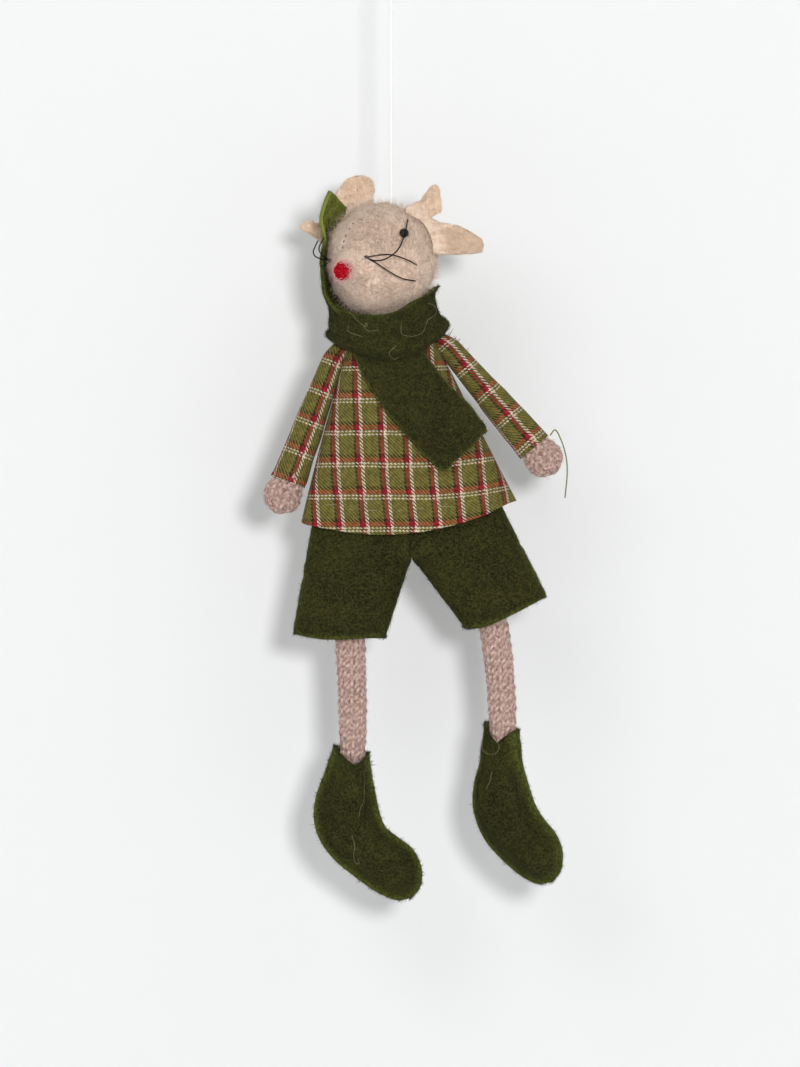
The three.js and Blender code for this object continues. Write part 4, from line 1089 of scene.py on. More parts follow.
def make_back_tail(sizes, finishes):
    """The scarf's second end: a strip on edge that climbs the side of the head and turns its face to the front;
    its foot bends in, on a quadratic curve, to the wrap's side, and its back edge hugs the head."""
    table = [(0, -1.03, 0.0), (0.25, -1.07, 0.0), (0.49, -1.03, 0.0), (0.6, -1.05, 0.08), (0.72, -1.08, 0.26),
             (0.84, -1.04, 0.33), (1, -0.92, 0.27)]
    rows, cols, width = 90, 44, 15
    up = np.linspace(0, 1, rows)[:, None]
    across, turn = read_table(table, up[:, 0])
    j = np.linspace(0, 1, cols)[None, :]
    hug = 5.0 * j**2 * (1 - level((up - 0.42) / 0.2))
    x = HEAD[0] + across[:, None] * HEAD_RADIUS + turn[:, None] * j * width + hug
    z = NECK[2] + 8.6 + up * (1 - 0.15 * up * j) * 27.1
    high = np.stack([x, width * (j - 0.6) + 0 * up, z], -1)
    angle = math.pi - np.arcsin(width * (j - 0.6) / 14.6)
    end = in_torso(wrap_place(angle, 0.85 + 0 * angle, 1.3))
    t = np.linspace(0, 1, 20)[:-1, None, None]
    bend = high[:1] + np.array([0.0, 0.0, -3.6])
    middle = np.concatenate([(1 - t) ** 2 * end + 2 * t * (1 - t) * bend + t**2 * high[:1], high])
    middle[..., 0] += 0.1 * wander(middle, 8, 61)
    middle = clear_of_head(middle, 0.7)
    normal = grid_normals(middle, False)
    normal *= np.sign(-normal[..., 0].mean())
    left, right = middle + normal * 0.52, middle - normal * 0.52
    # Painted light: the upper part of the strip is marked up to 2.2, which paints its face a brighter green as if lit;
    # its cut edges get the painted edge light.
    lit = level((np.arange(len(middle))[:, None] - 45) / 28) * 2.2
    mark = np.maximum(lit, 0.6 * edge_light_mark(len(middle), cols, "bcd", 3.0))
    piece = cloth("scarf_second_end_felt", left, right, False, {"rim": mark})
    count = sizes.scarf_hairs // 5
    fuzz = nap("scarf_second_end_nap", left, normal, count, 2.4, 0.034, 0.4, 62, around=False)
    inside = nap("scarf_second_end_back_nap", right, -normal, count, 2.4, 0.034, 0.4, 64, around=False)
    loose = fringe("scarf_second_end_rim_fibres", *rim_of(middle, "bcd"), 900, 0.9, 0.034, 63)
    bent_felt(piece, (fuzz, inside, loose), finishes, "torso", "head", (-17.0, 0.0, -116.0), (-19.0, 0.0, -108.5),
              "scarf_back_tail")


def quad_corners(place, run, up, middles):
    """Pattern places at the corners of each quad: across, from the run at the quad's own middle column, and
    up."""
    i, j = np.indices((len(up) - 1, len(middles)))
    corners = [np.stack([place[i + di, j + dj] - run[i + di, middles], up[i + di, j + dj]], -1)
               for di, dj in ((0, 0), (0, 1), (1, 1), (1, 0))]
    return np.stack(corners, 2).reshape(-1, 4, 2)


def power(values, exponent):
    return np.sign(values) * np.abs(values) ** exponent


def away_from_arm(points, side, gap):
    """Tunic places moved towards the middle where they would lie inside the sleeve."""
    local = turn_y(in_torso(points) - shoulder(side), -ARM_ANGLE[side])
    down = -local[..., 2]
    radius = np.interp(down, [-3.2, 0, SLEEVE_LENGTH], [0, 3.2, 5.1]) + gap
    off = np.hypot(local[..., 0], local[..., 1])
    push = np.where((down > -3.2) & (down < SLEEVE_LENGTH + 2), np.maximum(radius - off, 0), 0)
    moved = points.copy()
    moved[..., 0] -= SIDES[side] * push * 1.15
    return moved


def shirt_skin(rows, cols, inset):
    """The tunic's flaring tube: superellipse rings, soft folds that deepen to the hem, a hem that droops at
    front and back, and a top that draws in to the neck under the scarf. Column 0 is the left side seam."""
    angle = np.arange(cols)[None, :] / cols * TAU
    share = np.concatenate([np.linspace(-0.11, 0, 12)[:-1], np.linspace(0, 1, rows - 11)])[:, None]
    below, above = np.maximum(share, 0), np.minimum(share, 0)
    across, deep = power(np.cos(angle), 0.9), power(np.sin(angle), 0.9)
    hem = SHIRT_TOP + SHIRT_LENGTH + 6.2 * (1 - across**2)
    down = SHIRT_TOP + (hem - SHIRT_TOP) * below + SHIRT_LENGTH * above
    width, depth = shirt_half(SHIRT_TOP + SHIRT_LENGTH * below)
    width, depth = width * (1 + 2.2 * above), depth * (1 + 2.2 * above)
    fold = 1 + 0.018 * below**2 * np.cos(7 * angle)
    points = np.stack([(width * fold - inset) * across, (depth * fold - inset) * deep, -down], -1)
    upright = np.stack([points[..., 0], 0 * down, points[..., 2] * 0.35], -1)
    points[..., 1] += 0.5 * below**1.5 * wander(upright, 16, 71)
    for side in SIDES:
        points = away_from_arm(points, side, 0.35)
    return points


def panel_pattern(local, cols):
    """Pattern places of the tunic, cut as a front and a back. A stripe keeps the width that it shows from
    straight ahead and follows the cloth's length only where that turns round the side: its steps are
    sqrt(dx^2 + w dy^2), w going from 0 to 1 near the side seam. Stripes hang upright at the chest and lean out
    towards the hem; bands lie level and rise to the left side."""
    closed = np.concatenate([local, local[:, :1]], 1)
    step = np.diff(closed, axis=1)
    half = np.abs(closed[..., 0]).max(1, keepdims=True)
    turned = level((np.abs(closed[:, 1:, 0]) / half - 0.72) / 0.25)
    run = np.sqrt(step[..., 0] ** 2 + turned * step[..., 1] ** 2)
    s = np.concatenate([np.zeros((len(local), 1)), np.cumsum(run, 1)], 1)
    placed = in_torso(closed)
    x, z = placed[..., 0], placed[..., 2]
    lean = np.interp(z, [-182, -174.7, -164.5, -151, -138], [1.8, 1.0, 0.0, -0.6, -1.0])
    rise = np.interp(z, [-178, -169], [0.0075, 0.0045]) * np.maximum(x - 8, 0) ** 2
    middles = np.where(np.arange(cols) < cols // 2, cols // 4, 3 * cols // 4)
    return quad_corners(s + x - closed[..., 0] - lean + STRIPE_START, s, z - rise + BAND_START, middles)


def arc_pattern(points, cols, middle):
    """Pattern places of a ring-shaped cloth cut as one panel: arc length from its middle column across, and
    length up from the hem."""
    closed = np.concatenate([points, points[:, :1]], 1)
    s = np.concatenate([np.zeros((len(points), 1)), np.cumsum(np.linalg.norm(np.diff(closed, axis=1), axis=-1), 1)], 1)
    rise = np.linalg.norm(np.diff(points, axis=0), axis=-1)
    up = np.concatenate([np.cumsum(rise[::-1], 0)[::-1], np.zeros((1, cols))], 0)
    return quad_corners(s, s, np.concatenate([up, up[:, :1]], 1), np.full(cols, middle))


def tube_cloth(name, outer, inner, corners):
    """A tube of patterned cloth, open at both ends, with thickness; its edges repeat the pattern beside them."""
    rows, cols = outer.shape[:2]
    top, low = corners[:cols], corners[-cols:]
    uv = np.vstack([corners, corners[:, ::-1], top[:, [1, 0, 0, 1]], low[:, [3, 2, 2, 3]]])
    points = np.vstack([outer.reshape(-1, 3), inner.reshape(-1, 3)])
    return new_piece(name, points, cloth_faces(rows, cols, True), uv=uv)


HEM_DASHES = [(-18.4, -172.3, 3.2), (-11.7, -173.6, 1.4), (-7.3, -173.9, 3.4), (1.8, -173.9, 1.3), (6.6, -173.4, 2.4),
              (13.0, -172.8, 4.2), (21.8, -171.2, 1.6), (27, -169.8, 2)]


def make_tunic(sizes, finishes):
    """The tunic's body, cut as a front and a back that meet at the side seams, with its hem stitches and the
    frayed threads over the left shoulder."""
    rows, cols = 104, 208
    local = shirt_skin(rows, cols, 0)
    outer, inner = in_torso(local), in_torso(shirt_skin(rows, cols, 0.6))
    tunic = tube_cloth("tunic_body", outer, inner, panel_pattern(local, cols))
    put_on(tunic, finishes["plaid"], "torso", "shirt_body")
    paths = [[(x, z), (x + 0.5 * long, z + 0.12), (x + long, z + 0.05)] for x, z, long in HEM_DASHES]
    strays("hem_stitches", outer, paths, 0.07, finishes["hem_stitch"], "torso", 0.06)
    rng = np.random.default_rng(77)
    count = 70
    along = np.linspace(0, 1, count)[:, None]
    root = np.array([14.6, 1.5, -125.0]) * (1 - along) + np.array([19.4, 1.5, -130.6]) * along
    root = root + rng.normal(0, 0.35, (count, 3)) * (1, 3, 1)
    way = unit(np.array([0.75, -0.2, 0.66]) + rng.normal(0, 0.4, (count, 3)))
    curl = unit(rng.normal(0, 1, (count, 3)))
    size = rng.uniform(1.2, 3.6, (count, 1))
    lines = np.stack([root + way * size * t + curl * 0.5 * t**2 for t in np.linspace(0, 1, 6)], 1)
    put_on(hairs("shoulder_fray", lines, 0.13, rng.random(count), curl), finishes["fray"], "torso")


SLEEVE_SHIFT = {"left": (1.4, -1.25), "right": (0.9, 1.05)}


def sleeve_skin(rows, cols, side, inset):
    """A sleeve's cloth: rounds down the arm to the cuff, with a few soft creases. Above the shoulder the rounds
    go on towards the neck, drawn in by 0.45 u^2 / (u + 3) at u millimetres above it, and end under the scarf."""
    down = np.concatenate([np.linspace(-7.5, 0, 16)[:-1], np.linspace(0, SLEEVE_LENGTH, rows - 15)])
    wide = np.interp(down, [-7.5, -3, 0, SLEEVE_LENGTH / 2, SLEEVE_LENGTH], [2.2, 2.9, 3.2, 4.15, 5.1])
    deep = np.interp(down, [-7.5, -3, 0, SLEEVE_LENGTH / 2, SLEEVE_LENGTH], [2.2, 2.9, 3.2, 3.9, 4.6])
    over = np.maximum(-down, 0)
    angle = np.arange(cols)[None, :] / cols * TAU
    a, b = (wide - inset)[:, None], (deep - inset)[:, None]
    points = np.stack([a * np.cos(angle), b * np.sin(angle), -down[:, None] + 0 * angle], -1)
    crease = wander(points * np.array([1, 1, 0.6]), 7, 81 + SIDES[side]) * np.clip(down / 10, 0, 1)[:, None]
    points[..., :2] *= (1 + 0.035 * crease * (down < SLEEVE_LENGTH - 1.0)[:, None])[..., None]
    points[..., 0] -= SIDES[side] * (0.45 * over**2 / (over + 3))[:, None]
    return points


def make_sleeves(sizes, finishes):
    """Sleeves over the arms below the shoulder, sewn to the tunic above it."""
    rows, cols = 100, 96
    for side in SIDES:
        local = sleeve_skin(rows, cols, side, 0)
        outer = in_arm(local, side)
        inner = in_arm(sleeve_skin(rows, cols, side, 0.55), side)
        corners = arc_pattern(local, cols, 3 * cols // 4) + SLEEVE_SHIFT[side]
        piece = dressed(tube_cloth("sleeve_cloth_" + side, outer, inner, corners), finishes["plaid"])
        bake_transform(piece)
        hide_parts("sleeve_" + side)


def make_torso(sizes, finishes):
    """The stuffed body under the tunic, with the stump that the head turns on."""
    shares = [(0, 0.1, 0.45), (0.03, 0.36, 0.82), (0.1, 0.545, 0.97), (0.27, 0.6, 1), (0.5, 0.74, 0.98),
              (0.75, 0.91, 0.94), (0.91, 1, 0.88), (0.975, 0.98, 0.74), (1, 0.91, 0.5)]
    rows, cols = 70, 96
    share = np.linspace(0, 1, rows)
    wide, deep = (part[:, None] for part in read_table(shares, share))
    angle = np.arange(cols)[None, :] / cols * TAU
    down = 3.6 + 61.7 * share[:, None] + 0 * angle
    across, out = power(np.cos(angle), 0.9), power(np.sin(angle), 0.9)
    skin = in_torso(np.stack([22.5 * wide * across, 6.7 * deep * out, -down], -1))
    put_on(capped("torso_stuffing", skin), finishes["wadding"], "torso", "torso")
    line = np.linspace(NECK[2] - 4.5, HEAD[2] - 10.7, 24)
    spine = np.stack([np.full(24, NECK[0]), np.zeros(24), line], 1)
    stump, _ = swept(spine, np.broadcast_to([1.0, 0, 0], spine.shape), 4.5, 48)
    put_on(capped("neck_stump", stump), finishes["wadding"], "torso", "torso")


def knit_courses(place, radius, starts, wales, course, yarn):
    """Courses of plain knitting round a tube. Along each course the yarn lies at (t + a sin 2t) / wales round
    the tube, cos t times the course's height along it, and rises off the core as -cos 2t, so that each stitch
    shows its two legs as a long V and hides its head under the next."""
    grids, painted_shades = [], []
    t = np.linspace(0, TAU * wales, 18 * wales + 1)
    for start in starts:
        angle = (t + 1.6 * np.sin(2 * t)) / wales
        along = start + 0.98 * course * np.cos(t)
        r = radius(along) - yarn * 0.5 - 0.34 * np.cos(2 * t) * yarn - 0.16 * yarn
        centre, outs = place(along, angle)
        points = centre + outs * r[:, None]
        points = points + 0.1 * outs * wander(points, 3.0, 97)[:, None]
        rings, wave = swept(points, outs, yarn / 2, 10, 2, 0.42, 1.5)
        grids.append(rings)
        painted_shades.append(wave)
    return grids, painted_shades


HEM_BOW = {"left": (2.1, 0.58), "right": (1.25, 1.6)}


def core(place, radius, along, cols, yarn):
    """The tube inside the stitches: rounds of the tube's radius less most of the yarn."""
    angle = np.arange(cols) / cols * TAU
    a, s = np.meshgrid(angle, along)
    centre, outs = place(s.ravel(), a.ravel())
    r = np.maximum(radius(s.ravel()) - 0.72 * yarn, 0.1)
    return (centre + outs * r[:, None]).reshape(len(along), cols, 3)


def knit_limb(limb, side, place, radius, stitches, inside, sunk, shown, middle, count, seed, finishes):
    """One knitted limb: its stitches over a core, which lies inside them by most of the width in sunk, and loose
    fibres on the part that shows. place and radius give the limb's line and its thickness along it."""
    body = limb + "_" + side
    inner = core(place, radius, inside, 40, sunk)
    grids, painted_shades = knit_courses(place, radius, *stitches)
    # Painted shade: the core gets 0, so the yarn finish paints it in its darkest shade between the stitches.
    piece = joined(limb + "_knit_" + side, grids + [inner], painted_shades + [0 * inner[..., 0]])
    put_on(piece, finishes["knit"], body, body)
    skin = core(place, radius, shown, 40, 0.1)
    normals = out_from(skin, grid_normals(skin, True), middle)
    fuzz = nap(limb + "_nap_" + side, skin, normals, count, 2.2, 0.03, 0.7, seed)
    put_on(fuzz, finishes["knit_fibre"], body)


def make_arms(sizes, finishes):
    """Knitted arms whose hands show below the cuffs; inside the sleeve only the core is made."""
    hand = [(0, 0.92), (0.25, 1.08), (0.5, 1.13), (0.72, 1.02), (0.9, 0.7), (1, 0.25)]
    down = [-2.2, -1.8, -1, 0, SLEEVE_LENGTH / 2] + [SLEEVE_LENGTH + 9 * s for s, _ in hand]
    wide = [0.3, 1.3, 1.9, 2.2, 2.9] + [4.8 * w for _, w in hand]

    def radius(along):
        return np.interp(along, down, wide)

    for side in SIDES:
        def place(along, angle, side=side):
            centre = in_arm(np.stack([0 * along, 0 * along, -along], -1), side)
            outs = turn_y(np.stack([np.cos(angle), np.sin(angle), 0 * along], -1), ARM_ANGLE[side])
            return centre, outs

        stitches = (SLEEVE_LENGTH + np.array([-2.2, 0.3, 2.8, 5.0, 6.6]), 6, 2.1, 1.8)
        inside = np.linspace(-2.1, SLEEVE_LENGTH + 8.2, 70)
        shown = np.linspace(SLEEVE_LENGTH - 2, SLEEVE_LENGTH + 8.4, 30)
        middle = in_arm(np.array([0, 0, -SLEEVE_LENGTH - 4]), side)
        knit_limb("arm", side, place, radius, stitches, inside, 1.2, shown, middle, sizes.knit_hairs // 2, 91,
                  finishes)


def make_legs(sizes, finishes):
    """Knitted legs that sweep out from the hips and hang straight at the ankles. Inside the shorts they are thinner."""
    def radius(along):
        share = np.clip(along / LEG_LENGTH, 0, 1)
        body = (4.2 - 0.5 * share**3) * (0.66 + 0.34 * level((along - 12) / 6))
        top = np.sqrt(np.clip(1 - (np.clip(-along, 0, 4.2) / 4.2) ** 2, 0.02, 1))
        end = np.interp(along, [LEG_LENGTH, LEG_LENGTH + 3.9, LEG_LENGTH + 6], [1, 0.95, 0.6])
        return body * top * end

    for side in SIDES:
        def place(along, angle, side=side):
            share = np.clip(along / LEG_LENGTH, 0, 1)
            x = HIP[side][0] + LEG_SWEEP[side] * (1 - (1 - share) ** 2)
            centre = np.stack([x, 0 * along, HIP[side][2] - along], -1)
            return centre, np.stack([np.cos(angle), np.sin(angle), 0 * along], -1)

        stitches = (np.arange(12.7, LEG_LENGTH + 4.5, 2.9), 7, 2.9, 1.7)
        inside = np.linspace(-4.1, LEG_LENGTH + 5.4, 90)
        shown = np.linspace(8, LEG_LENGTH + 1, 60)
        middle = HIP[side] + np.array([LEG_SWEEP[side] * 0.7, 0, -LEG_LENGTH * 0.6])
        knit_limb("leg", side, place, radius, stitches, inside, 1.1, shown, middle, sizes.knit_hairs, 95, finishes)


def shorts_skin(side, rows, cols, inset):
    """Half of the shorts, from the waist to one leg's hem. Across, v runs from the middle of the front round the
    outer seam to the middle of the back. Above the crotch a row is half a superellipse; below it, a whole one
    between the inner and the outer seam; between them the two shapes are mixed by a level step. The hem bows
    down by b sin(pi s^k), s being the share of the way from the inner seam to the outer."""
    v = np.linspace(0, 1, cols)[None, :]
    t = np.linspace(0, 1, rows)[:, None]
    crotch = SHORTS_RISE / SHORTS_HEIGHT
    rise = np.where(t < crotch, SHORTS_RISE * (1 - t / crotch), 0)
    low = np.clip((t - crotch) / (1 - crotch), 0, 1)
    half = np.interp(rise, [0, SHORTS_RISE / 2, SHORTS_RISE], [SHORTS_WIDTH, 26.5, 22.5])
    angle = (v - 0.5) * math.pi
    hip_x = (half - inset) * power(np.cos(angle), SHORTS_BEND)
    hip_y = (SHORTS_DEPTH - inset) * power(np.sin(angle), SHORTS_BEND)
    end = level((low - 0.93) / 0.07)
    inner, outer = 10.5 * low + inset, SHORTS_WIDTH + 5.5 * low - inset - 0.5 * end**2
    deep = SHORTS_DEPTH - 1.7 * low - inset
    angle = (v - 0.5) * TAU
    across = (1 + power(np.cos(angle), SHORTS_BEND)) / 2
    bow, bias = HEM_BOW[side]
    leg_x = inner + (outer - inner) * across + (1.2 * low * (1 - across) if side == "left" else 0)
    leg_y = deep * power(np.sin(angle), SHORTS_BEND)
    side_rise = (SHORTS_LEG - SHORTS_SIDE_LEG) * low * across
    leg_z = -SHORTS_LEG * low + side_rise - bow * low**2 * np.sin(math.pi * across**bias)
    k = level((low * SHORTS_LEG + 0.6 - rise * 0.5) / 4.2)
    x, y, z = hip_x * (1 - k) + leg_x * k, hip_y * (1 - k) + leg_y * k, rise + leg_z
    x = np.where(k <= 0, np.maximum(x, 0), x)
    return np.stack([SIDES[side] * x, y + 0 * x, z + 0 * x], -1)


def make_shorts(sizes, finishes):
    """Felt shorts: two sides that meet at the middle."""
    rows, cols = 92, 150
    for side in SIDES:
        skin = shorts_skin(side, rows, cols, 0)
        waves = 0.28 * wander(skin * np.array([1, 0.3, 0.6]), 11, 101)
        skin[..., 1] += waves * np.sign(skin[..., 1])
        outer = in_shorts(skin)
        inner = shorts_skin(side, rows, cols, 1.1)
        inner[..., 1] += waves * np.sign(skin[..., 1])
        # Painted light: the rim mark lays a lighter green along the hem and down the outer side seam.
        seam = 1 - level(np.abs(np.linspace(-0.5, 0.5, cols)) / 0.1)
        mark = np.maximum(edge_light_mark(rows, cols, "c", 3.0), 0.9 * seam)
        piece = cloth("shorts_felt_" + side, outer, in_shorts(inner), False, {"rim": mark})
        normals = grid_normals(outer, False)
        normals *= np.sign((normals[..., 1] * skin[..., 1]).sum())
        fuzz = nap("shorts_nap_" + side, outer, normals, sizes.shorts_hairs, 2.4, 0.034, 0.4, 102, around=False)
        loose = fringe("shorts_hem_fibres_" + side, *rim_of(outer, "c"), 1400, 1.0, 0.036, 103)
        x, _, z = HIP[side]
        bent_felt(piece, (fuzz, loose), finishes, "torso", "leg_" + side, (x, 0, z + 2), (x, 0, z - 14),
                  "shorts_front", "shorts_back")


BOOT_SHARES = {
    "right": [
        (0, -0.012, 0.5, 0.86, 0), (0.18, -0.03, 0.68, 0.88, 0), (0.33, -0.045, 0.87, 0.96, 0),
        (0.48, -0.04, 0.98, 1, 3), (0.6, 0.0, 1.0, 1, 9.5), (0.7, 0.088, 1, 0.97, 19), (0.8, 0.21, 0.95, 0.9, 25),
        (0.91, 0.308, 0.77, 0.76, 27), (0.99, 0.366, 0.49, 0.54, 29), (1.02, 0.386, 0.27, 0.3, 30),
        (1.035, 0.396, 0.03, 0.1, 30)],
    "left": [
        (-0.08, -0.012, 0.46, 0.86, 0), (0.0, -0.008, 0.5, 0.86, 0), (0.18, -0.01, 0.64, 0.88, 0),
        (0.33, -0.01, 0.83, 0.96, 0), (0.46, 0.0, 0.95, 1, 5), (0.58, 0.04, 0.99, 1, 11.5),
        (0.68, 0.104, 0.98, 0.97, 20), (0.777, 0.198, 0.92, 0.9, 27), (0.88, 0.288, 0.76, 0.76, 31),
        (0.96, 0.34, 0.5, 0.54, 32), (0.99, 0.36, 0.3, 0.3, 32), (1.007, 0.368, 0.03, 0.1, 32)],
}


BOOT_TOPS = {"right": (0.0, 5.9, 2.1, 0.3), "left": (-3.0, 3.3, -0.4, 0.15)}


def boot_panel(side, rows, cols, notch):
    """One side of a boot in its own frame: rows down the foot, columns across. Its top is cut along two straight
    lines that meet in a notch. Where a place is nearer to the outline than the flange is wide it lies flat;
    further in, it swells out as (1 - |u|^2.4)^0.55, and at the very top as an ellipse round the leg."""
    table = BOOT_SHARES[side]
    first, last = table[0][0], table[-1][0]
    t = 1 - (1 - np.linspace(0, 1, rows)) ** 1.8
    u = np.sin(np.linspace(-math.pi / 2, math.pi / 2, cols))[None, :]
    one, depth, other, middle = BOOT_TOPS[side]
    start = np.interp(u, [-1, middle, 1], [one, depth if notch else (one + other) / 2, other]) / BOOT_HEIGHT
    start = np.maximum(start, first)
    t = start + (last - start) * t[:, None]
    across, wide, deep, tilt = read_table(table, t)
    lean = np.radians(tilt)
    a = BOOT_WIDTH * wide
    x = across * BOOT_HEIGHT + a * u * np.cos(lean)
    z = -t * BOOT_HEIGHT + a * u * np.sin(lean)
    outline = np.concatenate([np.stack([x[:, 0], z[:, 0]], 1), np.stack([x[::-1, -1], z[::-1, -1]], 1)])
    flat = np.stack([x, z], -1)
    near = np.min(np.linalg.norm(flat[:, :, None] - outline[None, None], axis=-1), axis=2)
    rise = level((near - 0.6) / 4.6) ** 0.6
    rise = rise + (1 - rise) * (1 - level((t - 0.1) / 0.16))
    swell = (1 - np.abs(u) ** 2.4) ** 0.55
    y = 0.62 + (BOOT_DEPTH * deep - 0.62) * swell * rise
    return np.stack([x, -y, z], -1), near


BOOT_STRAYS = {
    "right": [
        [(-7.4, -249.6), (-7.5, -252), (-7.6, -254.9), (-8.6, -257.2), (-8.9, -259.1)],
        [(-10.9, -264.5), (-10.1, -267.5), (-10.4, -269.9), (-10.1, -272), (-8.9, -272.6), (-9.3, -271)],
        [(-7.0, -245.6), (-7.6, -247.4), (-7.2, -249)],
        [(-3.0, -274.4), (-2.7, -274.5), (-2.4, -274.4)],
    ],
    "left": [
        [(28.3, -246.7), (27.9, -248.2), (27.7, -249.3), (26.5, -251.7)],
        [(25.6, -238.4), (25.5, -240.2), (26.8, -241.7), (29.2, -241.7), (30.2, -239.9), (29.6, -238.4)],
    ],
}


def make_boots(sizes, finishes):
    """Stuffed felt boots: a front and a back panel sewn together inside their cut edges."""
    rows, cols = 110, 64
    for side in SIDES:
        body = "boot_" + side
        for word, sign, notch in (("front", 1, True), ("back", -1, False)):
            outer, near = boot_panel(side, rows, cols, notch)
            inner = outer.copy()
            inner[..., 1] = np.minimum(outer[..., 1] + 0.6 + 0.5 * level((near - 1) / 2), -0.02)
            outer, inner = (in_boot(panel * np.array([1, sign, 1]), side) for panel in (outer, inner))
            outer = outer + np.array([0, -sign, 0]) * (0.3 * wander(outer, 5, 111) * level(near / 3))[..., None]
            name = "boot_%s_%s" % (word, side)
            # Painted light: the rim mark lays a lighter green round the panel's outline, fading inwards over a few
            # millimetres, which leaves the middle darker.
            mark = 1.3 * (1 - level((near + 0.2) / 2.6))
            piece = cloth(name + "_felt", outer, inner, False, {"rim": mark})
            put_on(piece, finishes["felt"], body, "boot_%s_%s" % (side, word), "boot_%s_filling" % side)
            normals = grid_normals(outer, False)
            normals = normals * np.sign(-sign * normals[..., 1].mean())
            fuzz = nap(name + "_nap", outer, normals, sizes.boot_hairs, 2.2, 0.032, 0.45, 112, around=False)
            loose = fringe(name + "_rim_fibres", *rim_of(outer, "abd"), 1900, 1.2, 0.036, 113)
            for part in (fuzz, loose):
                put_on(part, finishes["felt_fibre"], body)
            if word == "front":
                strays("boot_stray_fibres_" + side, outer, BOOT_STRAYS[side], 0.035, finishes["stray"], body)


def make_threads(sizes, finishes):
    """The pulled thread at the left cuff, drawn as a smooth curve from the cuff's outer edge."""
    edge = in_arm(np.array([5.1, 0, -SLEEVE_LENGTH]), "left")
    shares = [(0, 0), (0.4, 0.08), (0.95, -0.22), (1.15, -0.55), (1, -1)]
    places = [(edge[0] + 0.5 + out * 4.2, 0.0, edge[2] + rise * 17.5) for out, rise in shares]
    thread = joined("cuff_thread_strand", [tube(even_curve(places, 80), 0.2, 8, 2, 0.3, 4.0)])
    put_on(thread, finishes["green_thread"], "arm_left", "cuff_thread")


def make_stage(sizes, finishes):
    """A pale wall close behind the mouse, a pale floor, a strong light beside the camera, a weak broad one at
    each side above, and the camera, which stands far off with a narrow view."""
    scene = bpy.context.scene
    scene.view_settings.view_transform = "Standard"
    far, near = WALL_AT, -2.4
    low, high, half = FLOOR_AT, 1.6, 1.6
    plain = wall_finish("pale wall", linear(241, 242, 242))
    for name, corners in (
        ("wall", [(-half, far, -high), (half, far, -high), (half, far, high), (-half, far, high)]),
        ("floor", [(-half, near, low), (half, near, low), (half, far, low), (-half, far, low)]),
    ):
        sheet = flat_sheet(name, corners)
        sheet.data.materials.append(plain)
    world = bpy.data.worlds.new("pale room")
    scene.world = world
    world.use_nodes = True
    tree = world.node_tree
    back = tree.nodes["Background"]
    back.inputs["Color"].default_value = (0.99, 1.0, 0.99, 1.0)
    back.inputs["Strength"].default_value = sizes.room_light
    seen = add_node(tree, "Background", {"Color": linear(242, 243, 243)}).outputs[0]
    mix = add_node(tree, "MixShader", {0: plain_rays(tree), 1: back.outputs[0], 2: seen}).outputs[0]
    tree.links.new(mix, tree.nodes["World Output"].inputs["Surface"])
    lamp("front light", (0.36, -3.1, 0.04), (0.0, 0.0, -0.19), 0.32, sizes.front_light)
    lamp("left light", (-0.5, -1.3, 0.4), (0.0, 0.0, -0.16), 0.8, sizes.left_light)
    lamp("upper light", (0.45, -0.85, 0.6), (0.0, 0.0, -0.18), 0.7, sizes.upper_light)

    data = bpy.data.cameras.new("camera")
    camera = bpy.data.objects.new("camera", data)
    scene.collection.objects.link(camera)
    camera.location = (0.00252, -3.0, -0.1802)
    camera.rotation_euler = (math.pi / 2, 0, 0)
    data.sensor_fit = "VERTICAL"
    data.sensor_height = 36
    data.lens = 361.5
    data.clip_start = 0.01
    data.clip_end = 20
    scene.camera = camera


def flat_sheet(name, corners):
    mesh = bpy.data.meshes.new(name)
    mesh.from_pydata(corners, [], [(0, 1, 2, 3)])
    sheet = bpy.data.objects.new(name, mesh)
    bpy.context.scene.collection.objects.link(sheet)
    return sheet


def lamp(name, place, target, size, watts):
    """A round lamp that points at a target and is not seen by the camera."""
    data = bpy.data.lights.new(name, "AREA")
    data.shape = "DISK"
    data.size = size
    data.energy = watts
    light = bpy.data.objects.new(name, data)
    bpy.context.scene.collection.objects.link(light)
    x, y, z = np.array(target) - np.array(place)
    light.location = place
    light.visible_camera = False
    light.rotation_euler = (math.pi / 2 + math.atan2(z, math.hypot(x, y)), 0, -math.atan2(x, y))


def plain_rays(tree):
    """1 for the rays that come from the camera, from a gloss or through glass."""
    rays = add_node(tree, "LightPath").outputs
    total = rays["Is Camera Ray"]
    for other in ("Is Glossy Ray", "Is Transmission Ray"):
        total = add_node(tree, "Math", {0: total, 1: rays[other]}, operation="MAXIMUM").outputs[0]
    return total


def wall_finish(name, colour):
    """A pale matt wall that is seen only from its front. Straight ahead, part of what is seen is its plain
    colour, more of it lower down, so that the shadows stay soft."""
    f = Finish(name, roughness=1.0, specular=0.0)
    f.shader.inputs["Base Color"].default_value = colour
    plain = f.add("Emission", {"Color": linear(243, 243, 243)}).outputs[0]
    share = f.spread(f.add("SeparateXYZ", {0: f.place}).outputs[2], -0.12, -0.26, 0.0, 0.15)
    seen = f.sum("MULTIPLY", share, plain_rays(f.tree))
    face = f.add("MixShader", {0: seen, 1: f.shader.outputs[0], 2: plain}).outputs[0]
    clear = f.add("BsdfTransparent").outputs[0]
    behind = f.add("NewGeometry").outputs["Backfacing"]
    whole = f.add("MixShader", {0: behind, 1: face, 2: clear}).outputs[0]
    f.tree.links.new(whole, f.tree.nodes["Material Output"].inputs["Surface"])
    return f.material


def colour_prop(name, description, red, green, blue):
    return bpy.props.FloatVectorProperty(
        name=name, description=description, subtype="COLOR", size=4, min=0, max=1, default=linear(red, green, blue))


def size_prop(name, description, default):
    return bpy.props.FloatProperty(name=name, description=description, default=default, min=0.0)


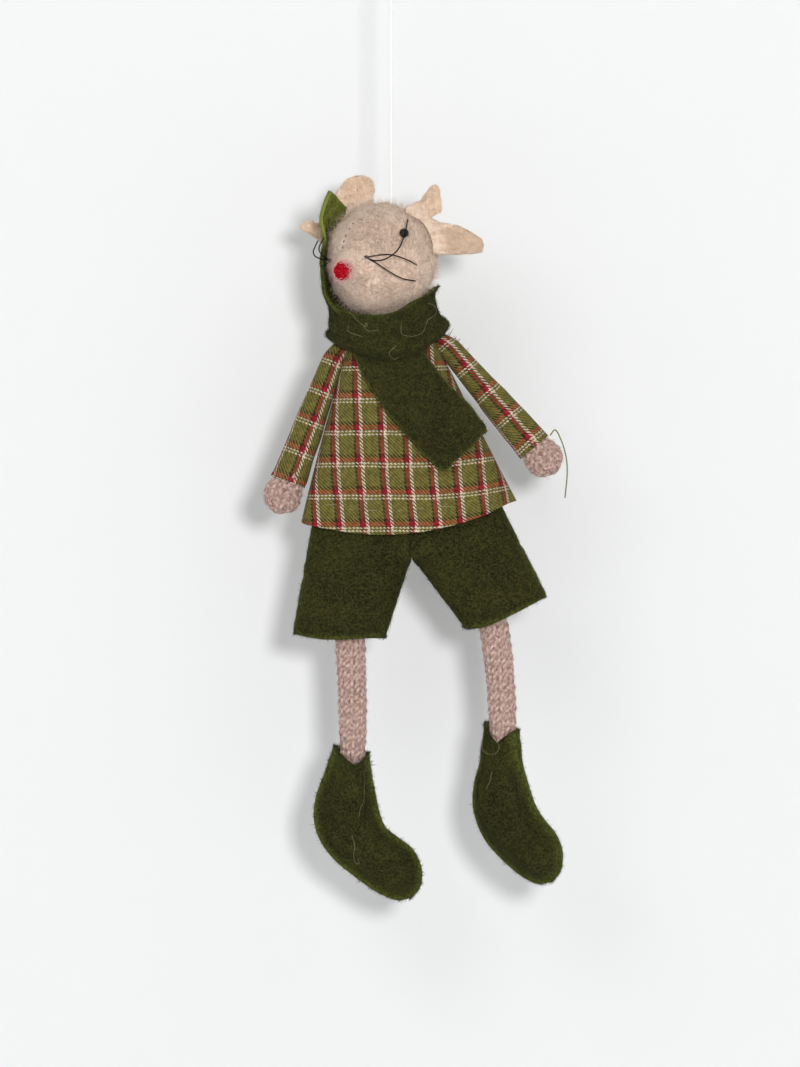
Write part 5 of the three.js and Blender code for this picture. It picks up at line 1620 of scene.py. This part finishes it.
class MouseColours(bpy.types.PropertyGroup):
    """The colours of the mouse's cloths, wools and threads."""

    felt: colour_prop("Felt", "Dark green felt of the scarf, shorts and boots", 42, 42, 20)
    felt_warm: colour_prop("Brushed felt", "Warmer green where the nap is brushed", 60, 57, 25)
    # Painted light: this lighter green is laid over the felt's cut edges and seams and, brighter, over the face of the
    # scarf's second end, as if lit; it is also the felt's sheen tint, the colour of its lightest fibres and of random
    # lighter clouds.
    felt_lit: colour_prop("Felt rim", "Lighter green of the felt's cut edges and its fibres in light", 98, 104, 46)
    head: colour_prop("Head", "Fawn wool of the head", 236, 212, 192)
    head_brown: colour_prop("Brown flecks", "Grey-brown fibres in the head's wool", 128, 100, 82)
    head_pink: colour_prop("Pink clouds", "Pinker patches of the head's wool", 232, 202, 183)
    # Also the cream of the painted light on the head's muzzle side and of its painted rim light.
    head_cream: colour_prop("Cream flecks", "Pale fibres in the head's wool", 252, 240, 226)
    ear: colour_prop("Ears", "Peach felt of the ears", 236, 206, 178)
    nose: colour_prop("Nose", "Red of the pompom", 176, 4, 28)
    knit: colour_prop("Knitting", "Pale pink yarn of the arms and legs", 216, 188, 177)
    olive: colour_prop("Plaid ground", "Ground colour of the plaid's warp", 132, 124, 62)
    olive_shade: colour_prop("Plaid shade", "Ground colour of the plaid's weft", 98, 92, 46)
    red: colour_prop("Plaid red", "Red threads of the plaid", 168, 34, 52)
    cream: colour_prop("Plaid cream", "Pale threads of the plaid", 228, 213, 190)
    dark: colour_prop("Plaid dark", "Dark threads of the plaid", 54, 40, 26)
    cord: colour_prop("Cord", "White of the hanging cord", 255, 255, 253)
    thread: colour_prop("Dark thread", "Whiskers and seam", 24, 17, 14)


class MouseSizes(bpy.types.PropertyGroup):
    """Sizes in millimetres, counts of fibres and the strength of the light."""

    cord_width: size_prop("Cord width", "Diameter of the hanging cord in mm", 0.8)
    whisker_width: size_prop("Whisker width", "Diameter of a whisker in mm", 0.42)
    weave_pitch: size_prop("Thread pitch", "Distance between threads of the plaid in mm", 0.27)
    warp_period: size_prop("Stripe repeat", "Repeat of the plaid's stripes in mm", 6.8)
    weft_period: size_prop("Band repeat", "Repeat of the plaid's bands in mm", 9.0)
    head_hairs: bpy.props.IntProperty(name="Head fibres", description="Fibres on the head", default=7400)
    ear_hairs: bpy.props.IntProperty(name="Ear fibres", description="Fibres on each face of an ear", default=900)
    scarf_hairs: bpy.props.IntProperty(name="Scarf fibres", description="Fibres on the wrap", default=4600)
    shorts_hairs: bpy.props.IntProperty(name="Shorts fibres", description="Fibres on each side", default=4200)
    boot_hairs: bpy.props.IntProperty(name="Boot fibres", description="Fibres on each panel", default=2400)
    knit_hairs: bpy.props.IntProperty(name="Knit fibres", description="Loose fibres on a leg", default=700)
    front_light: size_prop("Front light", "Power of the light near the camera in watts", 46)
    left_light: size_prop("Left light", "Power of the broad light at the left in watts", 3.6)
    upper_light: size_prop("Upper light", "Power of the broad light above in watts", 1.1)
    room_light: size_prop("Room light", "Strength of the light from all round", 0.28)


def make_finishes(colours, sizes):
    """The finishes by the names that the pieces ask for: each is a material and the slot that it fills."""
    felt, warm, lit = (tuple(c) for c in (colours.felt, colours.felt_warm, colours.felt_lit))
    head = [tuple(c) for c in (colours.head, colours.head_brown, colours.head_pink, colours.head_cream)]
    weave = [tuple(c) for c in (colours.olive, colours.olive_shade, colours.red, colours.cream, colours.dark)]
    ear, nose, knit = (tuple(c) for c in (colours.ear, colours.nose, colours.knit))
    fawn, brown, pink, cream = head
    stray = thread_finish("pale stray fibre", linear(160, 154, 118))
    return {
        "felt": (felt_finish("green felt", felt, warm, lit), "green_felt"),
        "felt_fibre": (fibre_finish("green fibres", [
            (0, toned(felt, 0.5)), (0.35, toned(felt, 1.1)), (0.75, toned(felt, 2.6)), (1.0, lit)]), "green_felt"),
        "head": (head_finish("heather wool", head), "heather_felt"),
        "head_fibre": (fibre_finish("heather fibres", [
            (0, brown), (0.2, fawn), (0.6, pink), (1.0, cream)]), "heather_felt"),
        "pale_fibre": (fibre_finish("pale down", [
            (0, brown), (0.12, toned(fawn, 0.85)), (0.5, fawn), (1.0, cream)]), "heather_felt"),
        "ear": (ear_finish("peach felt", (ear, toned(ear, 0.82), brown, cream), fawn), "peach_felt"),
        "ear_fibre": (fibre_finish("peach fibres", [
            (0, brown), (0.1, toned(ear, 0.8)), (0.7, ear), (1.0, cream)]), "peach_felt"),
        # The pale colour of the nose's painted rim light.
        "nose": (nose_finish("red wool", nose, linear(236, 196, 188)), "red_pompom"),
        "nose_fibre": (fibre_finish("red fibres", [
            (0, toned(nose, 0.7)), (0.8, nose), (1.0, linear(236, 180, 176))]), "red_pompom"),
        # Pale pink painted rim light for the nose's rim fibres.
        "halo_fibre": (fibre_finish("pale pink fibres", [
            (0, linear(240, 170, 165)), (1.0, linear(255, 232, 224))]), "red_pompom"),
        "stray": (stray, "green_felt"),
        "hem_stitch": (stray, "plaid_cloth"),
        "fray": (fibre_finish("frayed threads", [
            (0, weave[2]), (0.34, linear(214, 120, 120)), (0.55, weave[3]), (0.75, weave[0]), (0.92, weave[4])],
            step=True), "plaid_cloth"),
        "bead": (bead_finish("black bead"), "black_bead"),
        "dark_thread": (thread_finish("dark thread", tuple(colours.thread)), "dark_thread"),
        "seam_thread": (thread_finish("seam thread", linear(96, 74, 62)), "dark_thread"),
        "green_thread": (thread_finish("green thread", linear(112, 116, 46)), "green_thread"),
        "cord": (cord_finish("white cord", tuple(colours.cord)), "white_cord"),
        "knit": (yarn_finish("knitting yarn", knit), "pink_knit"),
        "knit_fibre": (fibre_finish("yarn fibres", [(0, toned(knit, 0.8)), (1.0, toned(knit, 1.2))]), "pink_knit"),
        "plaid": (plaid_finish("plaid cloth", weave, sizes.warp_period, sizes.weft_period, sizes.weave_pitch),
                  "plaid_cloth"),
        "wadding": (wadding_finish("plain cotton"), "wadding"),
    }


FINISHES = {}


def finishes(context):
    if not FINISHES:
        FINISHES.update(make_finishes(context.scene.mouse_colours, context.scene.mouse_sizes))
    return FINISHES


class MouseStep:
    """What every step shares: it reads the scene's sizes and makes its pieces."""

    bl_options = {"REGISTER", "UNDO"}

    def execute(self, context):
        for make in self.makes:
            make(context.scene.mouse_sizes, finishes(context))
        return {"FINISHED"}


class MOUSE_OT_stage(MouseStep, bpy.types.Operator):
    """Set up the wall, floor, lights and camera."""

    bl_idname = "mouse.stage"
    bl_label = "Stage"
    makes = (make_stage,)


class MOUSE_OT_cord(MouseStep, bpy.types.Operator):
    """Make the hanging cord, its loop and its knots."""

    bl_idname = "mouse.cord"
    bl_label = "Hanging cord"
    makes = (make_cord,)


class MOUSE_OT_head(MouseStep, bpy.types.Operator):
    """Make the felted head with its nap and seam."""

    bl_idname = "mouse.head"
    bl_label = "Head"
    makes = (make_head,)


class MOUSE_OT_face(MouseStep, bpy.types.Operator):
    """Make the nose, eyes and whiskers."""

    bl_idname = "mouse.face"
    bl_label = "Face"
    makes = (make_nose, make_eyes, make_whiskers)


class MOUSE_OT_ears(MouseStep, bpy.types.Operator):
    """Make the two felt ears."""

    bl_idname = "mouse.ears"
    bl_label = "Ears"
    makes = (make_ears,)


class MOUSE_OT_scarf(MouseStep, bpy.types.Operator):
    """Make the scarf's wrap and its two ends."""

    bl_idname = "mouse.scarf"
    bl_label = "Scarf"
    makes = (make_wrap, make_front_tail, make_back_tail)


class MOUSE_OT_torso(MouseStep, bpy.types.Operator):
    """Make the stuffed body under the clothes."""

    bl_idname = "mouse.torso"
    bl_label = "Body"
    makes = (make_torso,)


class MOUSE_OT_tunic(MouseStep, bpy.types.Operator):
    """Make the plaid tunic and its sleeves."""

    bl_idname = "mouse.tunic"
    bl_label = "Tunic"
    makes = (make_tunic, make_sleeves)


class MOUSE_OT_limbs(MouseStep, bpy.types.Operator):
    """Make the knitted arms and legs."""

    bl_idname = "mouse.limbs"
    bl_label = "Arms and legs"
    makes = (make_arms, make_legs)


class MOUSE_OT_shorts(MouseStep, bpy.types.Operator):
    """Make the felt shorts."""

    bl_idname = "mouse.shorts"
    bl_label = "Shorts"
    makes = (make_shorts,)


class MOUSE_OT_boots(MouseStep, bpy.types.Operator):
    """Make the stuffed felt boots."""

    bl_idname = "mouse.boots"
    bl_label = "Boots"
    makes = (make_boots,)


class MOUSE_OT_threads(MouseStep, bpy.types.Operator):
    """Make the loose threads."""

    bl_idname = "mouse.threads"
    bl_label = "Loose threads"
    makes = (make_threads,)


STEPS = (
    MOUSE_OT_stage, MOUSE_OT_cord, MOUSE_OT_head, MOUSE_OT_face, MOUSE_OT_ears, MOUSE_OT_torso, MOUSE_OT_tunic,
    MOUSE_OT_scarf, MOUSE_OT_limbs, MOUSE_OT_shorts, MOUSE_OT_boots, MOUSE_OT_threads,
)


class MOUSE_PT_panel(bpy.types.Panel):
    """The mouse's steps, sizes and colours in the sidebar."""

    bl_idname = "MOUSE_PT_panel"
    bl_label = "Hanging mouse"
    bl_space_type = "VIEW_3D"
    bl_region_type = "UI"
    bl_category = "Mouse"

    def draw(self, context):
        column = self.layout.column(align=True)
        for step in STEPS:
            column.operator(step.bl_idname)
        for group in (context.scene.mouse_sizes, context.scene.mouse_colours):
            box = self.layout.box()
            for name in group.bl_rna.properties.keys():
                if name not in ("rna_type", "name"):
                    box.prop(group, name)


CLASSES = (MouseColours, MouseSizes, *STEPS, MOUSE_PT_panel)


def register():
    for cls in CLASSES:
        bpy.utils.register_class(cls)
    bpy.types.Scene.mouse_colours = bpy.props.PointerProperty(type=MouseColours)
    bpy.types.Scene.mouse_sizes = bpy.props.PointerProperty(type=MouseSizes)


def unregister():
    del bpy.types.Scene.mouse_sizes
    del bpy.types.Scene.mouse_colours
    for cls in reversed(CLASSES):
        bpy.utils.unregister_class(cls)


def main():
    register()
    for step in STEPS:
        group, name = step.bl_idname.split(".")
        getattr(getattr(bpy.ops, group), name)()


if __name__ == "__main__":
    main()
